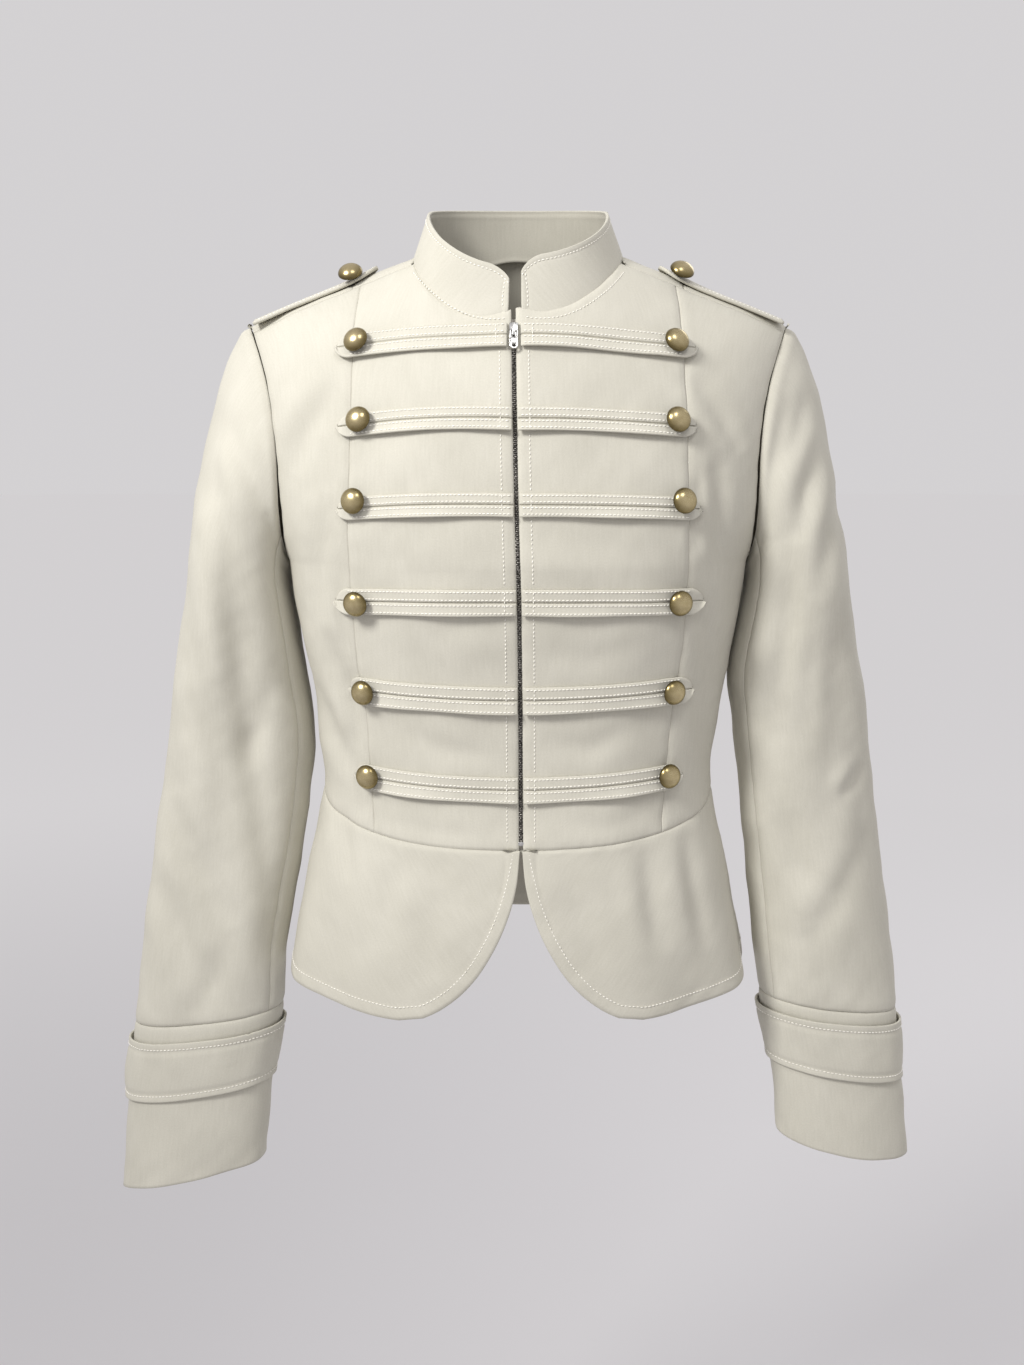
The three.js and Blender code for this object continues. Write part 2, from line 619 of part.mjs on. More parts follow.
function sleeveNormal(key, sign, round, c) {
  const f = (a, b) => sleeve(key, sign, a, b);
  const p = f(round, c);
  const d = c > 1 ? 2 : 0.02;
  const a = f(round + 1, c).sub(f(round - 1, c));
  const b = f(round, c + d).sub(f(round, Math.max(0, c - d)));
  const n = a.cross(b).normalize();
  const mid = f(round + 180, c);
  return n.dot(p.clone().sub(mid)) < 0 ? n.negate() : n;
}
const SEAM_FRONT = 148; // the two sleeve seams, degrees round the sleeve
const SEAM_BACK = 262;
function sleevePiece(key, sign, from, to, cols) {
  const rows = [0, 0.2, 0.42, 0.68, 1];
  const end = CAP_END - CUFFS[key].seam;
  for (let k = 1; k <= 8; k++) rows.push(1 + (end * k) / 8);
  const points = [];
  const normals = [];
  for (const c of rows) {
    const row = [];
    const nrow = [];
    for (let j = 0; j <= cols; j++) {
      const round = mix(from, to, j / cols);
      row.push(sleeve(key, sign, round, c));
      nrow.push(sleeveNormal(key, sign, round, c));
    }
    points.push(row);
    normals.push(nrow);
  }
  drawBack(points, 0.45, "t");
  return wall(drawBack(points, SEAM, "blr"), normals, CLOTH);
}
function tube(key, sign, zs, out, thick, cols) {
  const points = [];
  const normals = [];
  zs.forEach((z, i) => {
    const row = [];
    const nrow = [];
    for (let j = 0; j < cols; j++) {
      const round = (360 * j) / cols;
      const c = 1 + CAP_END - z;
      const n = sleeveNormal(key, sign, round, c);
      row.push(sleeve(key, sign, round, c).addScaledVector(n, Array.isArray(out) ? out[i] : out));
      nrow.push(n);
    }
    points.push(row);
    normals.push(nrow);
  });
  return wall(points, normals, thick, true);
}
for (const { key, word, sign } of SIDES) {
  add(`sleeve_top_${word}`, sleevePiece(key, sign, SEAM_BACK - 360, SEAM_FRONT, 14), "twill");
  add(`sleeve_under_${word}`, sleevePiece(key, sign, SEAM_FRONT, SEAM_BACK, 6), "twill");
  const c = CUFFS[key];
  const zs = [0, 0.33, 0.66, 1].map((u) => mix(c.seam - 0.34, c.end, u));
  add(`cuff_${word}`, tube(key, sign, zs, 0, CLOTH, 20), "twill");
  const bs = [c.bandTop, mix(c.bandTop, c.bandEnd, 0.3), c.bandEnd];
  add(`cuff_band_${word}`, tube(key, sign, bs, [3.4, 2.4, 2.2], CLOTH + 0.3, 20), "twill");
}

// ---------- straps and their buttons ----------
function onFront(x, z, out) {
  const [a, v] = place(x, z);
  return body(a, v).addScaledVector(bodyNormal(a, v), out);
}
function strap(row, sign, tip) {
  const along = [0, 0.2, 0.4, 0.6, 0.78, 0.92, 1];
  const across = [-1, -0.14, 0, 0.14, 1];
  const points = [];
  const normals = [];
  for (const q of across) {
    const line = [];
    const nline = [];
    for (const p of along) {
      const zip = read(ZIP_LINE, "z", "x", row.zip);
      const start = sign * (row === STRAPS[0] ? 4.9 : 2.3) + zip;
      const x = mix(start, sign * tip, p);
      const taper = p > 0.95 ? 0.12 : 1;
      const z = mix(row.zip, row.out, p ** 1.3) - (q * row.tall * taper) / 2;
      const lift = 0.35 + 0.5 * (q + 1) - (Math.abs(q) < 0.05 ? 0.5 : 0) + 1.7;
      const [a, v] = place(x, z);
      const n = bodyNormal(a, v);
      line.push(body(a, v).addScaledVector(n, lift));
      nline.push(n);
    }
    points.push(line);
    normals.push(nline);
  }
  return wall(points, normals, (i) => (i === 2 ? 0.95 : 1.5));
}
const BUTTON = [
  { r: 0, h: 0 },
  { r: 2.6, h: 0 },
  { r: 2.6, h: 3.1 },
  { r: 7.7, h: 3.3 },
  { r: 8.7, h: 4.4 },
  { r: 8.1, h: 6.4 },
  { r: 5.6, h: 8.6 },
  { r: 0, h: 9.9 },
];
function button(at, axis) {
  const g = new THREE.LatheGeometry(
    BUTTON.map((b) => new THREE.Vector2(b.r, b.h)),
    14,
  );
  g.deleteAttribute("normal");
  g.deleteAttribute("uv");
  const turn = new THREE.Quaternion().setFromUnitVectors(vec(0, 1, 0), axis.clone().normalize());
  return g.applyQuaternion(turn).translate(at.x, at.y, at.z);
}
const TILTS = [
  { L: [-0.1, 0.06], R: [0.1, 0.05] },
  { L: [-0.05, 0.1], R: [0.08, 0.06] },
  { L: [-0.08, 0.03], R: [0.06, 0.08] },
  { L: [0.06, -0.08], R: [-0.05, 0.06] },
  { L: [-0.04, 0.02], R: [0.08, 0.04] },
  { L: [0.04, -0.05], R: [0.03, 0.05] },
];
for (const { key, word, sign } of SIDES)
  STRAPS.forEach((row, i) => {
    add(`strap_${word}_${i + 1}`, strap(row, sign, row["tip" + key]), "twill");
    const x = sign * row["but" + key];
    const [a, v] = place(x, row.butZ);
    const n = bodyNormal(a, v);
    const tilt = TILTS[i][key];
    const axis = n.clone().add(vec(tilt[0], 0, tilt[1]));
    // the shank stands on the strap, which lies closer to the cloth along its upper edge
    const low = Math.min(1, Math.max(-1, (mix(row.zip, row.out, 0.88) - row.butZ) / (row.tall / 2)));
    add(`button_${word}_${i + 1}`, button(onFront(x, row.butZ, 2.6 + 0.5 * (low + 1)), axis), "brass");
  });

// ---------- shoulder tabs ----------
const TAB = { tip: 100, end: 187, half: 19, centre: -3, thick: 2.2 };
function tabPoint(sign, p, q) {
  const x = mix(TAB.tip, TAB.end, p);
  const round = Math.sqrt(Math.max(0.02, 1 - (1 - Math.min(1, p / 0.16)) ** 2));
  const y = TAB.centre * (1 - 0.4 * p) + q * TAB.half * round * (1 - 0.28 * p);
  const fy = (y < 0 ? BODY[0].front : BODY[0].back) * (1 - (x / SHOULDER_HALF) ** (2 / SQUARE)) ** (SQUARE / 2);
  const power = y > 0 ? BACK_ARCH : 1;
  const under = Math.max(0, 1 - Math.abs(y / fy) ** (2 / power)) ** (power / 2);
  const drop = (ridgeZ(x) - UNDERARM_Z) * (1 - under);
  const own = y ** 2 / (2 * mix(44, 30, p));
  return vec(sign * x, y, ridgeZ(x) - Math.min(drop, own) + 3.0 + 1.4 * bump(p, 0.22));
}
for (const { key, word, sign } of SIDES) {
  const points = [];
  const normals = [];
  for (const q of [-1, -0.5, 0, 0.5, 1]) {
    const row = [];
    const nrow = [];
    for (const p of [0, 0.06, 0.16, 0.4, 0.6, 0.8, 1]) {
      row.push(tabPoint(sign, p, q));
      const f = (a, b) => tabPoint(sign, a, b);
      nrow.push(normalOf(f, Math.min(0.97, Math.max(0.05, p)), q * 0.97, 0.02, 0.02, vec(sign * 140, 0, -300)));
    }
    points.push(row);
    normals.push(nrow);
  }
  add(`epaulette_${word}`, wall(points, normals, TAB.thick), "twill");
  const at = tabPoint(sign, key === "L" ? 0.19 : 0.15, -0.72).add(vec(0, -1.2, 0.5));
  const lean = key === "L" ? vec(-0.12, -0.62, 0.76) : vec(0.25, -0.6, 0.76);
  add(`epaulette_button_${word}`, button(at, lean), "brass");
}

// ---------- zip ----------
for (const { word, sign } of SIDES) {
  const points = [];
  const normals = [];
  for (let i = 0; i <= 14; i++) {
    const z = mix(-57, -411, i / 14);
    const zip = read(ZIP_LINE, "z", "x", z);
    const row = [];
    const nrow = [];
    for (const out of [0.5, 12]) {
      const [a, v] = place(zip + sign * out, z);
      const n = bodyNormal(a, v);
      row.push(body(a, v).addScaledVector(n, -CLOTH - 1.3));
      nrow.push(n);
    }
    points.push(row);
    normals.push(nrow);
  }
  add(`zip_tape_${word}`, wall(points, normals, 1.0), "tape");
}
// slider and pull in their own frame: x across, y down the zip, z out of the cloth
function block(w, l, h, x, y, z) {
  return wasm.Manifold.cube([w, l, h], true).translate([x, y, z]);
}
function toGeometry(solid) {
  const m = solid.getMesh();
  const n = m.numProp;
  const out = new Float32Array(m.numVert * 3);
  for (let i = 0; i < m.numVert; i++) out.set(m.vertProperties.subarray(i * n, i * n + 3), i * 3);
  return new THREE.BufferGeometry()
    .setAttribute("position", new THREE.BufferAttribute(out, 3))
    .setIndex(Array.from(m.triVerts));
}
{
  const z = -67;
  const x = read(ZIP_LINE, "z", "x", z);
  const [a, v] = place(x, z);
  const n = bodyNormal(a, v);
  n.x = 0;
  n.normalize();
  const at = body(a, v);
  const frame = new THREE.Matrix4().makeBasis(vec(1, 0, 0), n.clone().cross(vec(1, 0, 0)), n);
  frame.setPosition(at);
  // the local y runs up the zip
  const plate = wasm.CrossSection.ofPolygons([
    [
      [-3.6, 5],
      [-2.2, 6.5],
      [2.2, 6.5],
      [3.6, 5],
      [2.7, -5.5],
      [-2.7, -5.5],
    ].reverse(),
  ]);
  let slider = plate.extrude(1.9).translate([0, 0, 0.5]);
  slider = slider.add(block(2, 1.3, 3.2, 0, 3.6, 3.6)).add(block(2, 1.3, 3.2, 0, -3.6, 3.6));
  slider = slider.add(block(2, 8.5, 0.9, 0, 0, 5.55));
  add("zip_slider", toGeometry(slider).applyMatrix4(frame), "silver");

  const bar = wasm.Manifold.cylinder(5.6, 0.55, 0.55, 12, true).rotate([0, 90, 0]);
  let pull = bar.translate([0, 0, 3.75]);
  pull = pull.add(block(1.1, 5.6, 1, -2.25, -2.8, 3.75)).add(block(1.1, 5.6, 1, 2.25, -2.8, 3.75));
  const tab = wasm.CrossSection.ofPolygons([
    [
      [-2.8, -4.9],
      [2.8, -4.9],
      [2.8, -11.5],
      [1.6, -13.2],
      [-1.6, -13.2],
      [-2.8, -11.5],
    ].reverse(),
  ]);
  pull = pull.add(tab.extrude(1).translate([0, 0, 3.25]));
  pull = pull.subtract(wasm.Manifold.cylinder(4, 1, 1, 12, true).translate([0, -10.6, 3.75]));
  add("zip_pull", toGeometry(pull).applyMatrix4(frame), "silver");
}

const group = new THREE.Group();
group.name = "jacket";
for (const m of parts) group.add(m);
export default group;
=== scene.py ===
# %% [markdown]
# # A short zip-up jacket in ecru twill
# The jacket is a hollow garment: cut panels sewn edge to edge, a stand collar, two-piece
# sleeves, a short flared peplum, twelve straps with domed buttons and a metal zip.
# Everything here is in metres, +Z up, with the front facing -Y.

# %% Loading the frame
import math
import bpy
import numpy as np
from mathutils import Matrix, Vector


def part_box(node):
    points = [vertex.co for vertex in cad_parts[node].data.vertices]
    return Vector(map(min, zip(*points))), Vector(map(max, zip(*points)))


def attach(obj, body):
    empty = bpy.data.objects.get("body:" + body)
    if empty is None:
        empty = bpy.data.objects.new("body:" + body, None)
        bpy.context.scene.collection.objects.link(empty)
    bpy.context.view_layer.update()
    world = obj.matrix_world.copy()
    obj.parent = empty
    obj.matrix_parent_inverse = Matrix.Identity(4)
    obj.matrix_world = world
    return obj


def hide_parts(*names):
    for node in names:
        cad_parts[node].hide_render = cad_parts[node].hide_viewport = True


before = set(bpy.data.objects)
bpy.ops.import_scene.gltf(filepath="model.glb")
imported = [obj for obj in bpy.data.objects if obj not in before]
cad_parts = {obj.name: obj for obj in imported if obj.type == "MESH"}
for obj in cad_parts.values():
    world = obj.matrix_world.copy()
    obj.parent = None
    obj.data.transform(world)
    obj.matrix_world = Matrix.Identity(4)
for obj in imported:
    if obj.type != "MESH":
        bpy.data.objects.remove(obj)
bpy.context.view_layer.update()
MM = 0.001
print("solid parts:", len(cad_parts))

# %% [markdown]
# ## Where the eye stands
# A garment is photographed from chest height about a metre away. A short tele view keeps
# the sleeves from looking swollen. A little downward tilt shows the tops of the shoulders.
# The camera is made first, so that every later step can be looked at.

# %% The camera
camera_data = bpy.data.cameras.new("eye")
camera_data.sensor_width = 36
camera_data.lens = 35.87
camera_data.clip_start = 0.05
camera = bpy.data.objects.new("eye", camera_data)
camera.location = (-0.0044, -1.0, -0.156)
camera.rotation_euler = (math.radians(90 - 8.9), 0, 0)
bpy.context.scene.collection.objects.link(camera)
bpy.context.scene.camera = camera
print("camera at", tuple(round(c, 4) for c in camera.location))

# %% [markdown]
# ## Soft light
# Pale cloth shows its folds only when light comes mostly from one side. One wide lamp stands
# in front to the left and above, a weaker one fills from the right, and a pale world gives
# the rest. Wide lamps keep the edges of the shadows soft.

# %% Lamps and the world
def lamp(name, place, aim, size, power, tint, beam=180):
    """A square area lamp at a place, turned towards aim, with its beam's width in degrees."""
    data = bpy.data.lights.new(name, "AREA")
    data.shape = "SQUARE"
    data.size = size
    data.energy = power
    data.color = tint
    data.spread = math.radians(beam)
    made = bpy.data.objects.new(name, data)
    made.location = place
    made.rotation_euler = (Vector(aim) - Vector(place)).to_track_quat("-Z", "Y").to_euler()
    bpy.context.scene.collection.objects.link(made)
    return made


lamp("window", (-1.05, -1.05, 0.80), (0.02, -0.08, -0.20), 0.45, 3.3, (1.0, 0.992, 0.97), 61)
lamp("back_window", (1.5, 1.9, 1.1), (0, 0, -0.3), 1.3, 11, (0.98, 0.98, 1.0))
lamp("ceiling", (0.15, -0.9, 0.8), (0, -0.1, -0.2), 0.4, 0.6, (1.0, 0.995, 0.985), 80)
world = bpy.data.worlds.new("pale room")
world.use_nodes = True
world.node_tree.nodes["Background"].inputs["Color"].default_value = (0.655, 0.64, 0.65, 1)
world.node_tree.nodes["Background"].inputs["Strength"].default_value = 1.0
bpy.context.scene.world = world
bpy.context.scene.view_settings.view_transform = "Standard"

# %% [markdown]
# ## A pale floor
# The jacket hangs at the height of a wearer, so the floor lies well under it. The floor is
# a very wide matt disc. Far away it is as pale as the room, so no line shows behind the
# jacket, and nearer it is a shade greyer. One gradient in the floor's own space does both.

# %% The floor
bpy.ops.object.select_all(action="DESELECT")
bpy.ops.mesh.primitive_circle_add(vertices=96, radius=70, fill_type="NGON", location=(0, 0, -1.36))
floor = bpy.context.object
floor.name = "floor"
bpy.ops.object.mode_set(mode="EDIT")
bpy.ops.mesh.inset(thickness=60.0)
bpy.ops.object.mode_set(mode="OBJECT")
bpy.ops.object.transform_apply(location=True, rotation=True, scale=True)
bpy.ops.object.shade_smooth()
floor_finish = bpy.data.materials.new("pale floor")
floor_finish.use_nodes = True
nodes, links = floor_finish.node_tree.nodes, floor_finish.node_tree.links
floor_shader = nodes["Principled BSDF"]
floor_shader.inputs["Roughness"].default_value = 1.0
floor_shader.inputs["Specular IOR Level"].default_value = 0.0
space = nodes.new("ShaderNodeTexCoord")
away = nodes.new("ShaderNodeVectorMath")
away.operation = "LENGTH"
links.new(space.outputs["Object"], away.inputs[0])
fade = nodes.new("ShaderNodeMapRange")
fade.interpolation_type = "SMOOTHSTEP"
fade.inputs["From Min"].default_value = 1.2
fade.inputs["From Max"].default_value = 4.6
links.new(away.outputs["Value"], fade.inputs["Value"])
pale = nodes.new("ShaderNodeMix")
pale.data_type = "RGBA"
pale.inputs["A"].default_value = (0.73, 0.72, 0.73, 1)
pale.inputs["B"].default_value = (0.99, 0.985, 0.985, 1)
links.new(fade.outputs["Result"], pale.inputs["Factor"])
links.new(pale.outputs["Result"], floor_shader.inputs["Base Color"])
floor.data.materials.append(floor_finish)
print("floor corners:", len(floor.data.vertices))

# %% [markdown]
# ## Finishes
# A finish is a small net of nodes. Each one has its colour with a slow variation, a finer
# grain, and a bump that gives the surface its touch. The cloth finishes read the cloth's own
# map, which is laid out in metres along the panel, so the weave keeps its size everywhere.

# %% A helper for finishes
def finish(name, rough, metal=0.0):
    """A new material; returns it with its nodes, links and surface shader."""
    made = bpy.data.materials.new(name)
    made.use_nodes = True
    nodes = made.node_tree.nodes
    shader = nodes["Principled BSDF"]
    shader.inputs["Roughness"].default_value = rough
    shader.inputs["Metallic"].default_value = metal
    return made, nodes, made.node_tree.links, shader


def blotches(nodes, links, place, scale, detail, low, high, dark, light):
    """Noise at a scale, turned into a colour between dark and light."""
    noise = nodes.new("ShaderNodeTexNoise")
    noise.inputs["Scale"].default_value = scale
    noise.inputs["Detail"].default_value = detail
    links.new(place, noise.inputs["Vector"])
    ramp = nodes.new("ShaderNodeValToRGB")
    ramp.color_ramp.elements[0].position = low
    ramp.color_ramp.elements[1].position = high
    ramp.color_ramp.elements[0].color = (*dark, 1)
    ramp.color_ramp.elements[1].color = (*light, 1)
    links.new(noise.outputs["Fac"], ramp.inputs["Fac"])
    return ramp.outputs["Color"]


def blend_colors(nodes, links, mode, factor, first, second):
    """Mixes two colour outputs."""
    node = nodes.new("ShaderNodeMix")
    node.data_type = "RGBA"
    node.blend_type = mode
    node.inputs["Factor"].default_value = factor
    links.new(first, node.inputs["A"])
    links.new(second, node.inputs["B"])
    return node.outputs["Result"]


def raised(nodes, links, shader, height, strength, distance):
    """Feeds a height into the shader's normal as a bump."""
    bump_node = nodes.new("ShaderNodeBump")
    bump_node.inputs["Strength"].default_value = strength
    bump_node.inputs["Distance"].default_value = distance
    links.new(height, bump_node.inputs["Height"])
    links.new(bump_node.outputs["Normal"], shader.inputs["Normal"])
    return bump_node


print("helpers for finishes ready")

# %% [markdown]
# ### Twill
# Twill is woven so that each thread passes over two and under one, a step further along in
# each row. That draws fine diagonal ribs. A wave texture run diagonally over the cloth's map
# gives the ribs, a second one crosses it for the single threads, and two noises give the
# slubs of the yarn and the slow unevenness of piece-dyed cotton. A little sheen lies over it.

# %% The twill finish
def twill_finish(name, dark, light, weave=1.0):
    made, nodes, links, shader = finish(name, 0.86)
    uv = nodes.new("ShaderNodeUVMap")
    uv.uv_map = "cloth"
    place = uv.outputs["UV"]
    slow = blotches(nodes, links, place, 14, 3, 0.35, 0.68, dark, light)
    grain = blotches(nodes, links, place, 900, 2, 0.3, 0.72, (0.90, 0.90, 0.89), (1.0, 1.0, 1.0))
    slub_map = nodes.new("ShaderNodeMapping")
    slub_map.inputs["Scale"].default_value = (1.0, 0.09, 1.0)
    links.new(place, slub_map.inputs["Vector"])
    slubs = blotches(
        nodes, links, slub_map.outputs["Vector"], 620, 3, 0.32, 0.7, (0.93, 0.93, 0.92), (1, 1, 1)
    )
    tone = blend_colors(nodes, links, "MULTIPLY", 0.75, slow, grain)
    tone = blend_colors(nodes, links, "MULTIPLY", 0.7, tone, slubs)
    links.new(tone, shader.inputs["Base Color"])
    ribs = nodes.new("ShaderNodeTexWave")
    ribs.wave_type = "BANDS"
    ribs.bands_direction = "DIAGONAL"
    ribs.inputs["Scale"].default_value = 640
    ribs.inputs["Distortion"].default_value = 1.2
    ribs.inputs["Detail"].default_value = 1.0
    links.new(place, ribs.inputs["Vector"])
    threads = nodes.new("ShaderNodeTexWave")
    threads.wave_type = "BANDS"
    threads.bands_direction = "X"
    threads.inputs["Scale"].default_value = 520
    threads.inputs["Distortion"].default_value = 0.8
    links.new(place, threads.inputs["Vector"])
    height = blend_colors(nodes, links, "MIX", 0.4, ribs.outputs["Color"], threads.outputs["Color"])
    fuzz = nodes.new("ShaderNodeTexNoise")
    fuzz.inputs["Scale"].default_value = 420
    fuzz.inputs["Detail"].default_value = 3
    links.new(place, fuzz.inputs["Vector"])
    height = blend_colors(nodes, links, "MIX", 0.45, height, fuzz.outputs["Color"])
    raised(nodes, links, shader, height, 0.34 * weave, 0.00025)
    uneven = nodes.new("ShaderNodeMapRange")
    uneven.inputs["To Min"].default_value = 0.8
    uneven.inputs["To Max"].default_value = 0.93
    links.new(fuzz.outputs["Fac"], uneven.inputs["Value"])
    links.new(uneven.outputs["Result"], shader.inputs["Roughness"])
    shader.inputs["Sheen Weight"].default_value = 0.08
    shader.inputs["Sheen Roughness"].default_value = 0.5
    shader.inputs["Specular IOR Level"].default_value = 0.25
    return made


twill = twill_finish("ecru twill", (0.585, 0.563, 0.488), (0.632, 0.609, 0.532))
# The inside skin gets a darker copy of the same twill: painted shade for the inside of the jacket.
inside_twill_painted_shade = twill_finish("twill from inside with painted shade", (0.50, 0.478, 0.41), (0.55, 0.528, 0.455), 0.8)
print("twill finishes:", twill.name, "and", inside_twill_painted_shade.name)

# %% [markdown]
# ### Sewing thread
# The thread is a touch lighter than the cloth and slightly glossy, with the fine twist of
# three plies. The plies are too fine to model, so a wave in the object's own space gives them.

# %% The thread finish
thread, nodes, links, shader = finish("sewing thread", 0.55)
space = nodes.new("ShaderNodeTexCoord").outputs["Object"]
color = blotches(nodes, links, space, 240, 2, 0.35, 0.7, (0.86, 0.83, 0.75), (0.95, 0.925, 0.86))
links.new(color, shader.inputs["Base Color"])
plies = nodes.new("ShaderNodeTexWave")
plies.bands_direction = "DIAGONAL"
plies.inputs["Scale"].default_value = 900
links.new(space, plies.inputs["Vector"])
raised(nodes, links, shader, plies.outputs["Fac"], 0.3, 0.0001)
shader.inputs["Sheen Weight"].default_value = 0.3
print("thread finish ready")

# %% [markdown]
# ### Antique brass
# The buttons are pressed brass with a satin face. Their colour carries a painted highlight on
# the top of the dome and painted shade towards the rim. Layer weight isn't used for that: the
# painted light follows an attribute by height, so it stays in place from every side. Fine
# noise gives brushed streaks.

# %% The brass finish
brass, nodes, links, shader = finish("antique brass", 0.3, 1.0)
space = nodes.new("ShaderNodeTexCoord").outputs["Object"]
# Painted light: an attribute that rises with height, so the ramp paints shade at the rim and a highlight on top.
painted_light_attribute = nodes.new("ShaderNodeAttribute")
painted_light_attribute.attribute_name = "crown"
tone_ramp = nodes.new("ShaderNodeValToRGB")
tone_ramp.color_ramp.elements[0].color = (0.055, 0.042, 0.018, 1)
tone_ramp.color_ramp.elements[1].color = (0.64, 0.54, 0.32, 1)
middle = tone_ramp.color_ramp.elements.new(0.5)
middle.color = (0.30, 0.24, 0.115, 1)
links.new(painted_light_attribute.outputs["Fac"], tone_ramp.inputs["Fac"])
spots = blotches(nodes, links, space, 330, 4, 0.3, 0.72, (0.80, 0.78, 0.72), (1.0, 1.0, 1.0))
color = blend_colors(nodes, links, "MULTIPLY", 0.8, tone_ramp.outputs["Color"], spots)
links.new(color, shader.inputs["Base Color"])
satin = nodes.new("ShaderNodeTexNoise")
satin.inputs["Scale"].default_value = 1500
satin.inputs["Detail"].default_value = 2
links.new(space, satin.inputs["Vector"])
gloss = nodes.new("ShaderNodeMapRange")
gloss.inputs["To Min"].default_value = 0.20
gloss.inputs["To Max"].default_value = 0.32
links.new(satin.outputs["Fac"], gloss.inputs["Value"])
links.new(gloss.outputs["Result"], shader.inputs["Roughness"])
raised(nodes, links, shader, satin.outputs["Fac"], 0.10, 0.00008)
print("brass finish ready")

# %% [markdown]
# ### Nickel and dark zip metal
# The slider is bright nickel with faint scratches. The teeth are darker, oxidised metal with
# bright worn tops, so they read as a dark line with light specks.

# %% The two zip metals
def zip_metal(name, dark, light, rough_low, rough_high, speck):
    made, nodes, links, shader = finish(name, rough_low, 1.0)
    space = nodes.new("ShaderNodeTexCoord").outputs["Object"]
    color = blotches(nodes, links, space, speck, 3, 0.38, 0.62, dark, light)
    links.new(color, shader.inputs["Base Color"])
    scratch = nodes.new("ShaderNodeTexNoise")
    scratch.inputs["Scale"].default_value = 2400
    scratch.inputs["Detail"].default_value = 3
    links.new(space, scratch.inputs["Vector"])
    gloss = nodes.new("ShaderNodeMapRange")
    gloss.inputs["To Min"].default_value = rough_low
    gloss.inputs["To Max"].default_value = rough_high
    links.new(scratch.outputs["Fac"], gloss.inputs["Value"])
    links.new(gloss.outputs["Result"], shader.inputs["Roughness"])
    raised(nodes, links, shader, scratch.outputs["Fac"], 0.12, 0.00006)
    return made


nickel = zip_metal("bright nickel", (0.46, 0.46, 0.45), (0.72, 0.715, 0.70), 0.14, 0.26, 500)
tooth_metal = zip_metal("oxidised zip metal", (0.03, 0.029, 0.027), (0.30, 0.285, 0.26), 0.28, 0.48, 800)
print("zip metals:", nickel.name, "and", tooth_metal.name)

# %% [markdown]
# ### Zip tape
# Zip tape is a narrow woven band, denser and smoother than the twill. Its herringbone shows
# as fine cross ribs.

# %% The tape finish
tape, nodes, links, shader = finish("woven zip tape", 0.8)
uv = nodes.new("ShaderNodeUVMap")
uv.uv_map = "cloth"
color = blotches(nodes, links, uv.outputs["UV"], 300, 3, 0.3, 0.7, (0.30, 0.28, 0.245), (0.42, 0.395, 0.35))
links.new(color, shader.inputs["Base Color"])
weft = nodes.new("ShaderNodeTexWave")
weft.bands_direction = "Y"
weft.inputs["Scale"].default_value = 460
links.new(uv.outputs["UV"], weft.inputs["Vector"])
raised(nodes, links, shader, weft.outputs["Fac"], 0.4, 0.0002)
print("tape finish ready")

# %% [markdown]
# ## The shape of the cloth
# Cloth over a body is one smooth surface cut into panels. The surface is written once as a
# function of an angle round the body and a height, in millimetres, and every panel reads
# its points from it, so neighbours meet exactly along their seams. The tables are the
# jacket's own sections. A spline through a table keeps the outline fair.

# %% Reading a table smoothly
def curve(rows, at, column=1):
    """Reads a column of a table of (place, value, ...) rows at any places, smoothly."""
    rows = np.asarray(rows, float)
    x, y = rows[:, 0], rows[:, column]
    if x[0] > x[-1]:
        x, y = x[::-1], y[::-1]
    step = np.diff(y) / np.diff(x)
    slope = np.concatenate([step[:1], 0.5 * (step[1:] + step[:-1]), step[-1:]])
    at = np.asarray(at, float)
    i = np.clip(np.searchsorted(x, at) - 1, 0, len(x) - 2)
    gap = x[i + 1] - x[i]
    u = np.clip((at - x[i]) / gap, 0, 1)
    return (
        (2 * u**3 - 3 * u**2 + 1) * y[i]
        + (u**3 - 2 * u**2 + u) * gap * slope[i]
        + (3 * u**2 - 2 * u**3) * y[i + 1]
        + (u**3 - u**2) * gap * slope[i + 1]
    )


def hill(distance, width):
    """A soft round hill: 1 in the middle, falling away over about the width."""
    return np.exp(-((distance / width) ** 2))


def mix(a, b, t):
    return a + (b - a) * t


def smooth(t):
    t = np.clip(t, 0, 1)
    return t * t * (3 - 2 * t)


def xyz(x, y, z):
    return np.stack(np.broadcast_arrays(x, y, z), -1).astype(float)


print("middle of a two-row table:", float(curve([(0, 1), (10, 3)], 5)))

# %% The sections of the body
SECTIONS = [
    (-220, 165, 106, 90), (-262, 160, 100, 84), (-290, 155, 95, 79), (-314, 150.5, 92, 76),
    (-350, 146, 89, 74), (-382, 144, 89, 75), (-405, 148, 92, 79), (-445, 157.5, 101, 90),
    (-485, 166, 109, 100), (-518, 172, 114, 106), (-545, 176, 117, 110),
]
FLUTES = [
    (-142, 12, 4), (-92, 15, -5), (-66, 8, 3), (-48, 10, -2.5), (42, 8, -3),
    (61, 8, 4), (82, 9, -4), (112, 13, 4), (150, 14, -4), (180, 12, 3),
]
UNDERARM, SHOULDER, SLOPE, SQUARE = -220, 192, 0.397, 0.85
NECK_HALF, NECK_FRONT, NECK_BACK = 74, 75, 46


def power(value, exponent):
    return np.sign(value) * np.abs(value) ** exponent


def ridge(x, behind=False):
    """Height of the shoulder line at a distance from the middle, rounded off at the nape."""
    away = np.abs(x)
    away = np.where(behind & (away < 15), (away**2 + 225) / 30, away)
    return -8 - SLOPE * (away - NECK_HALF)


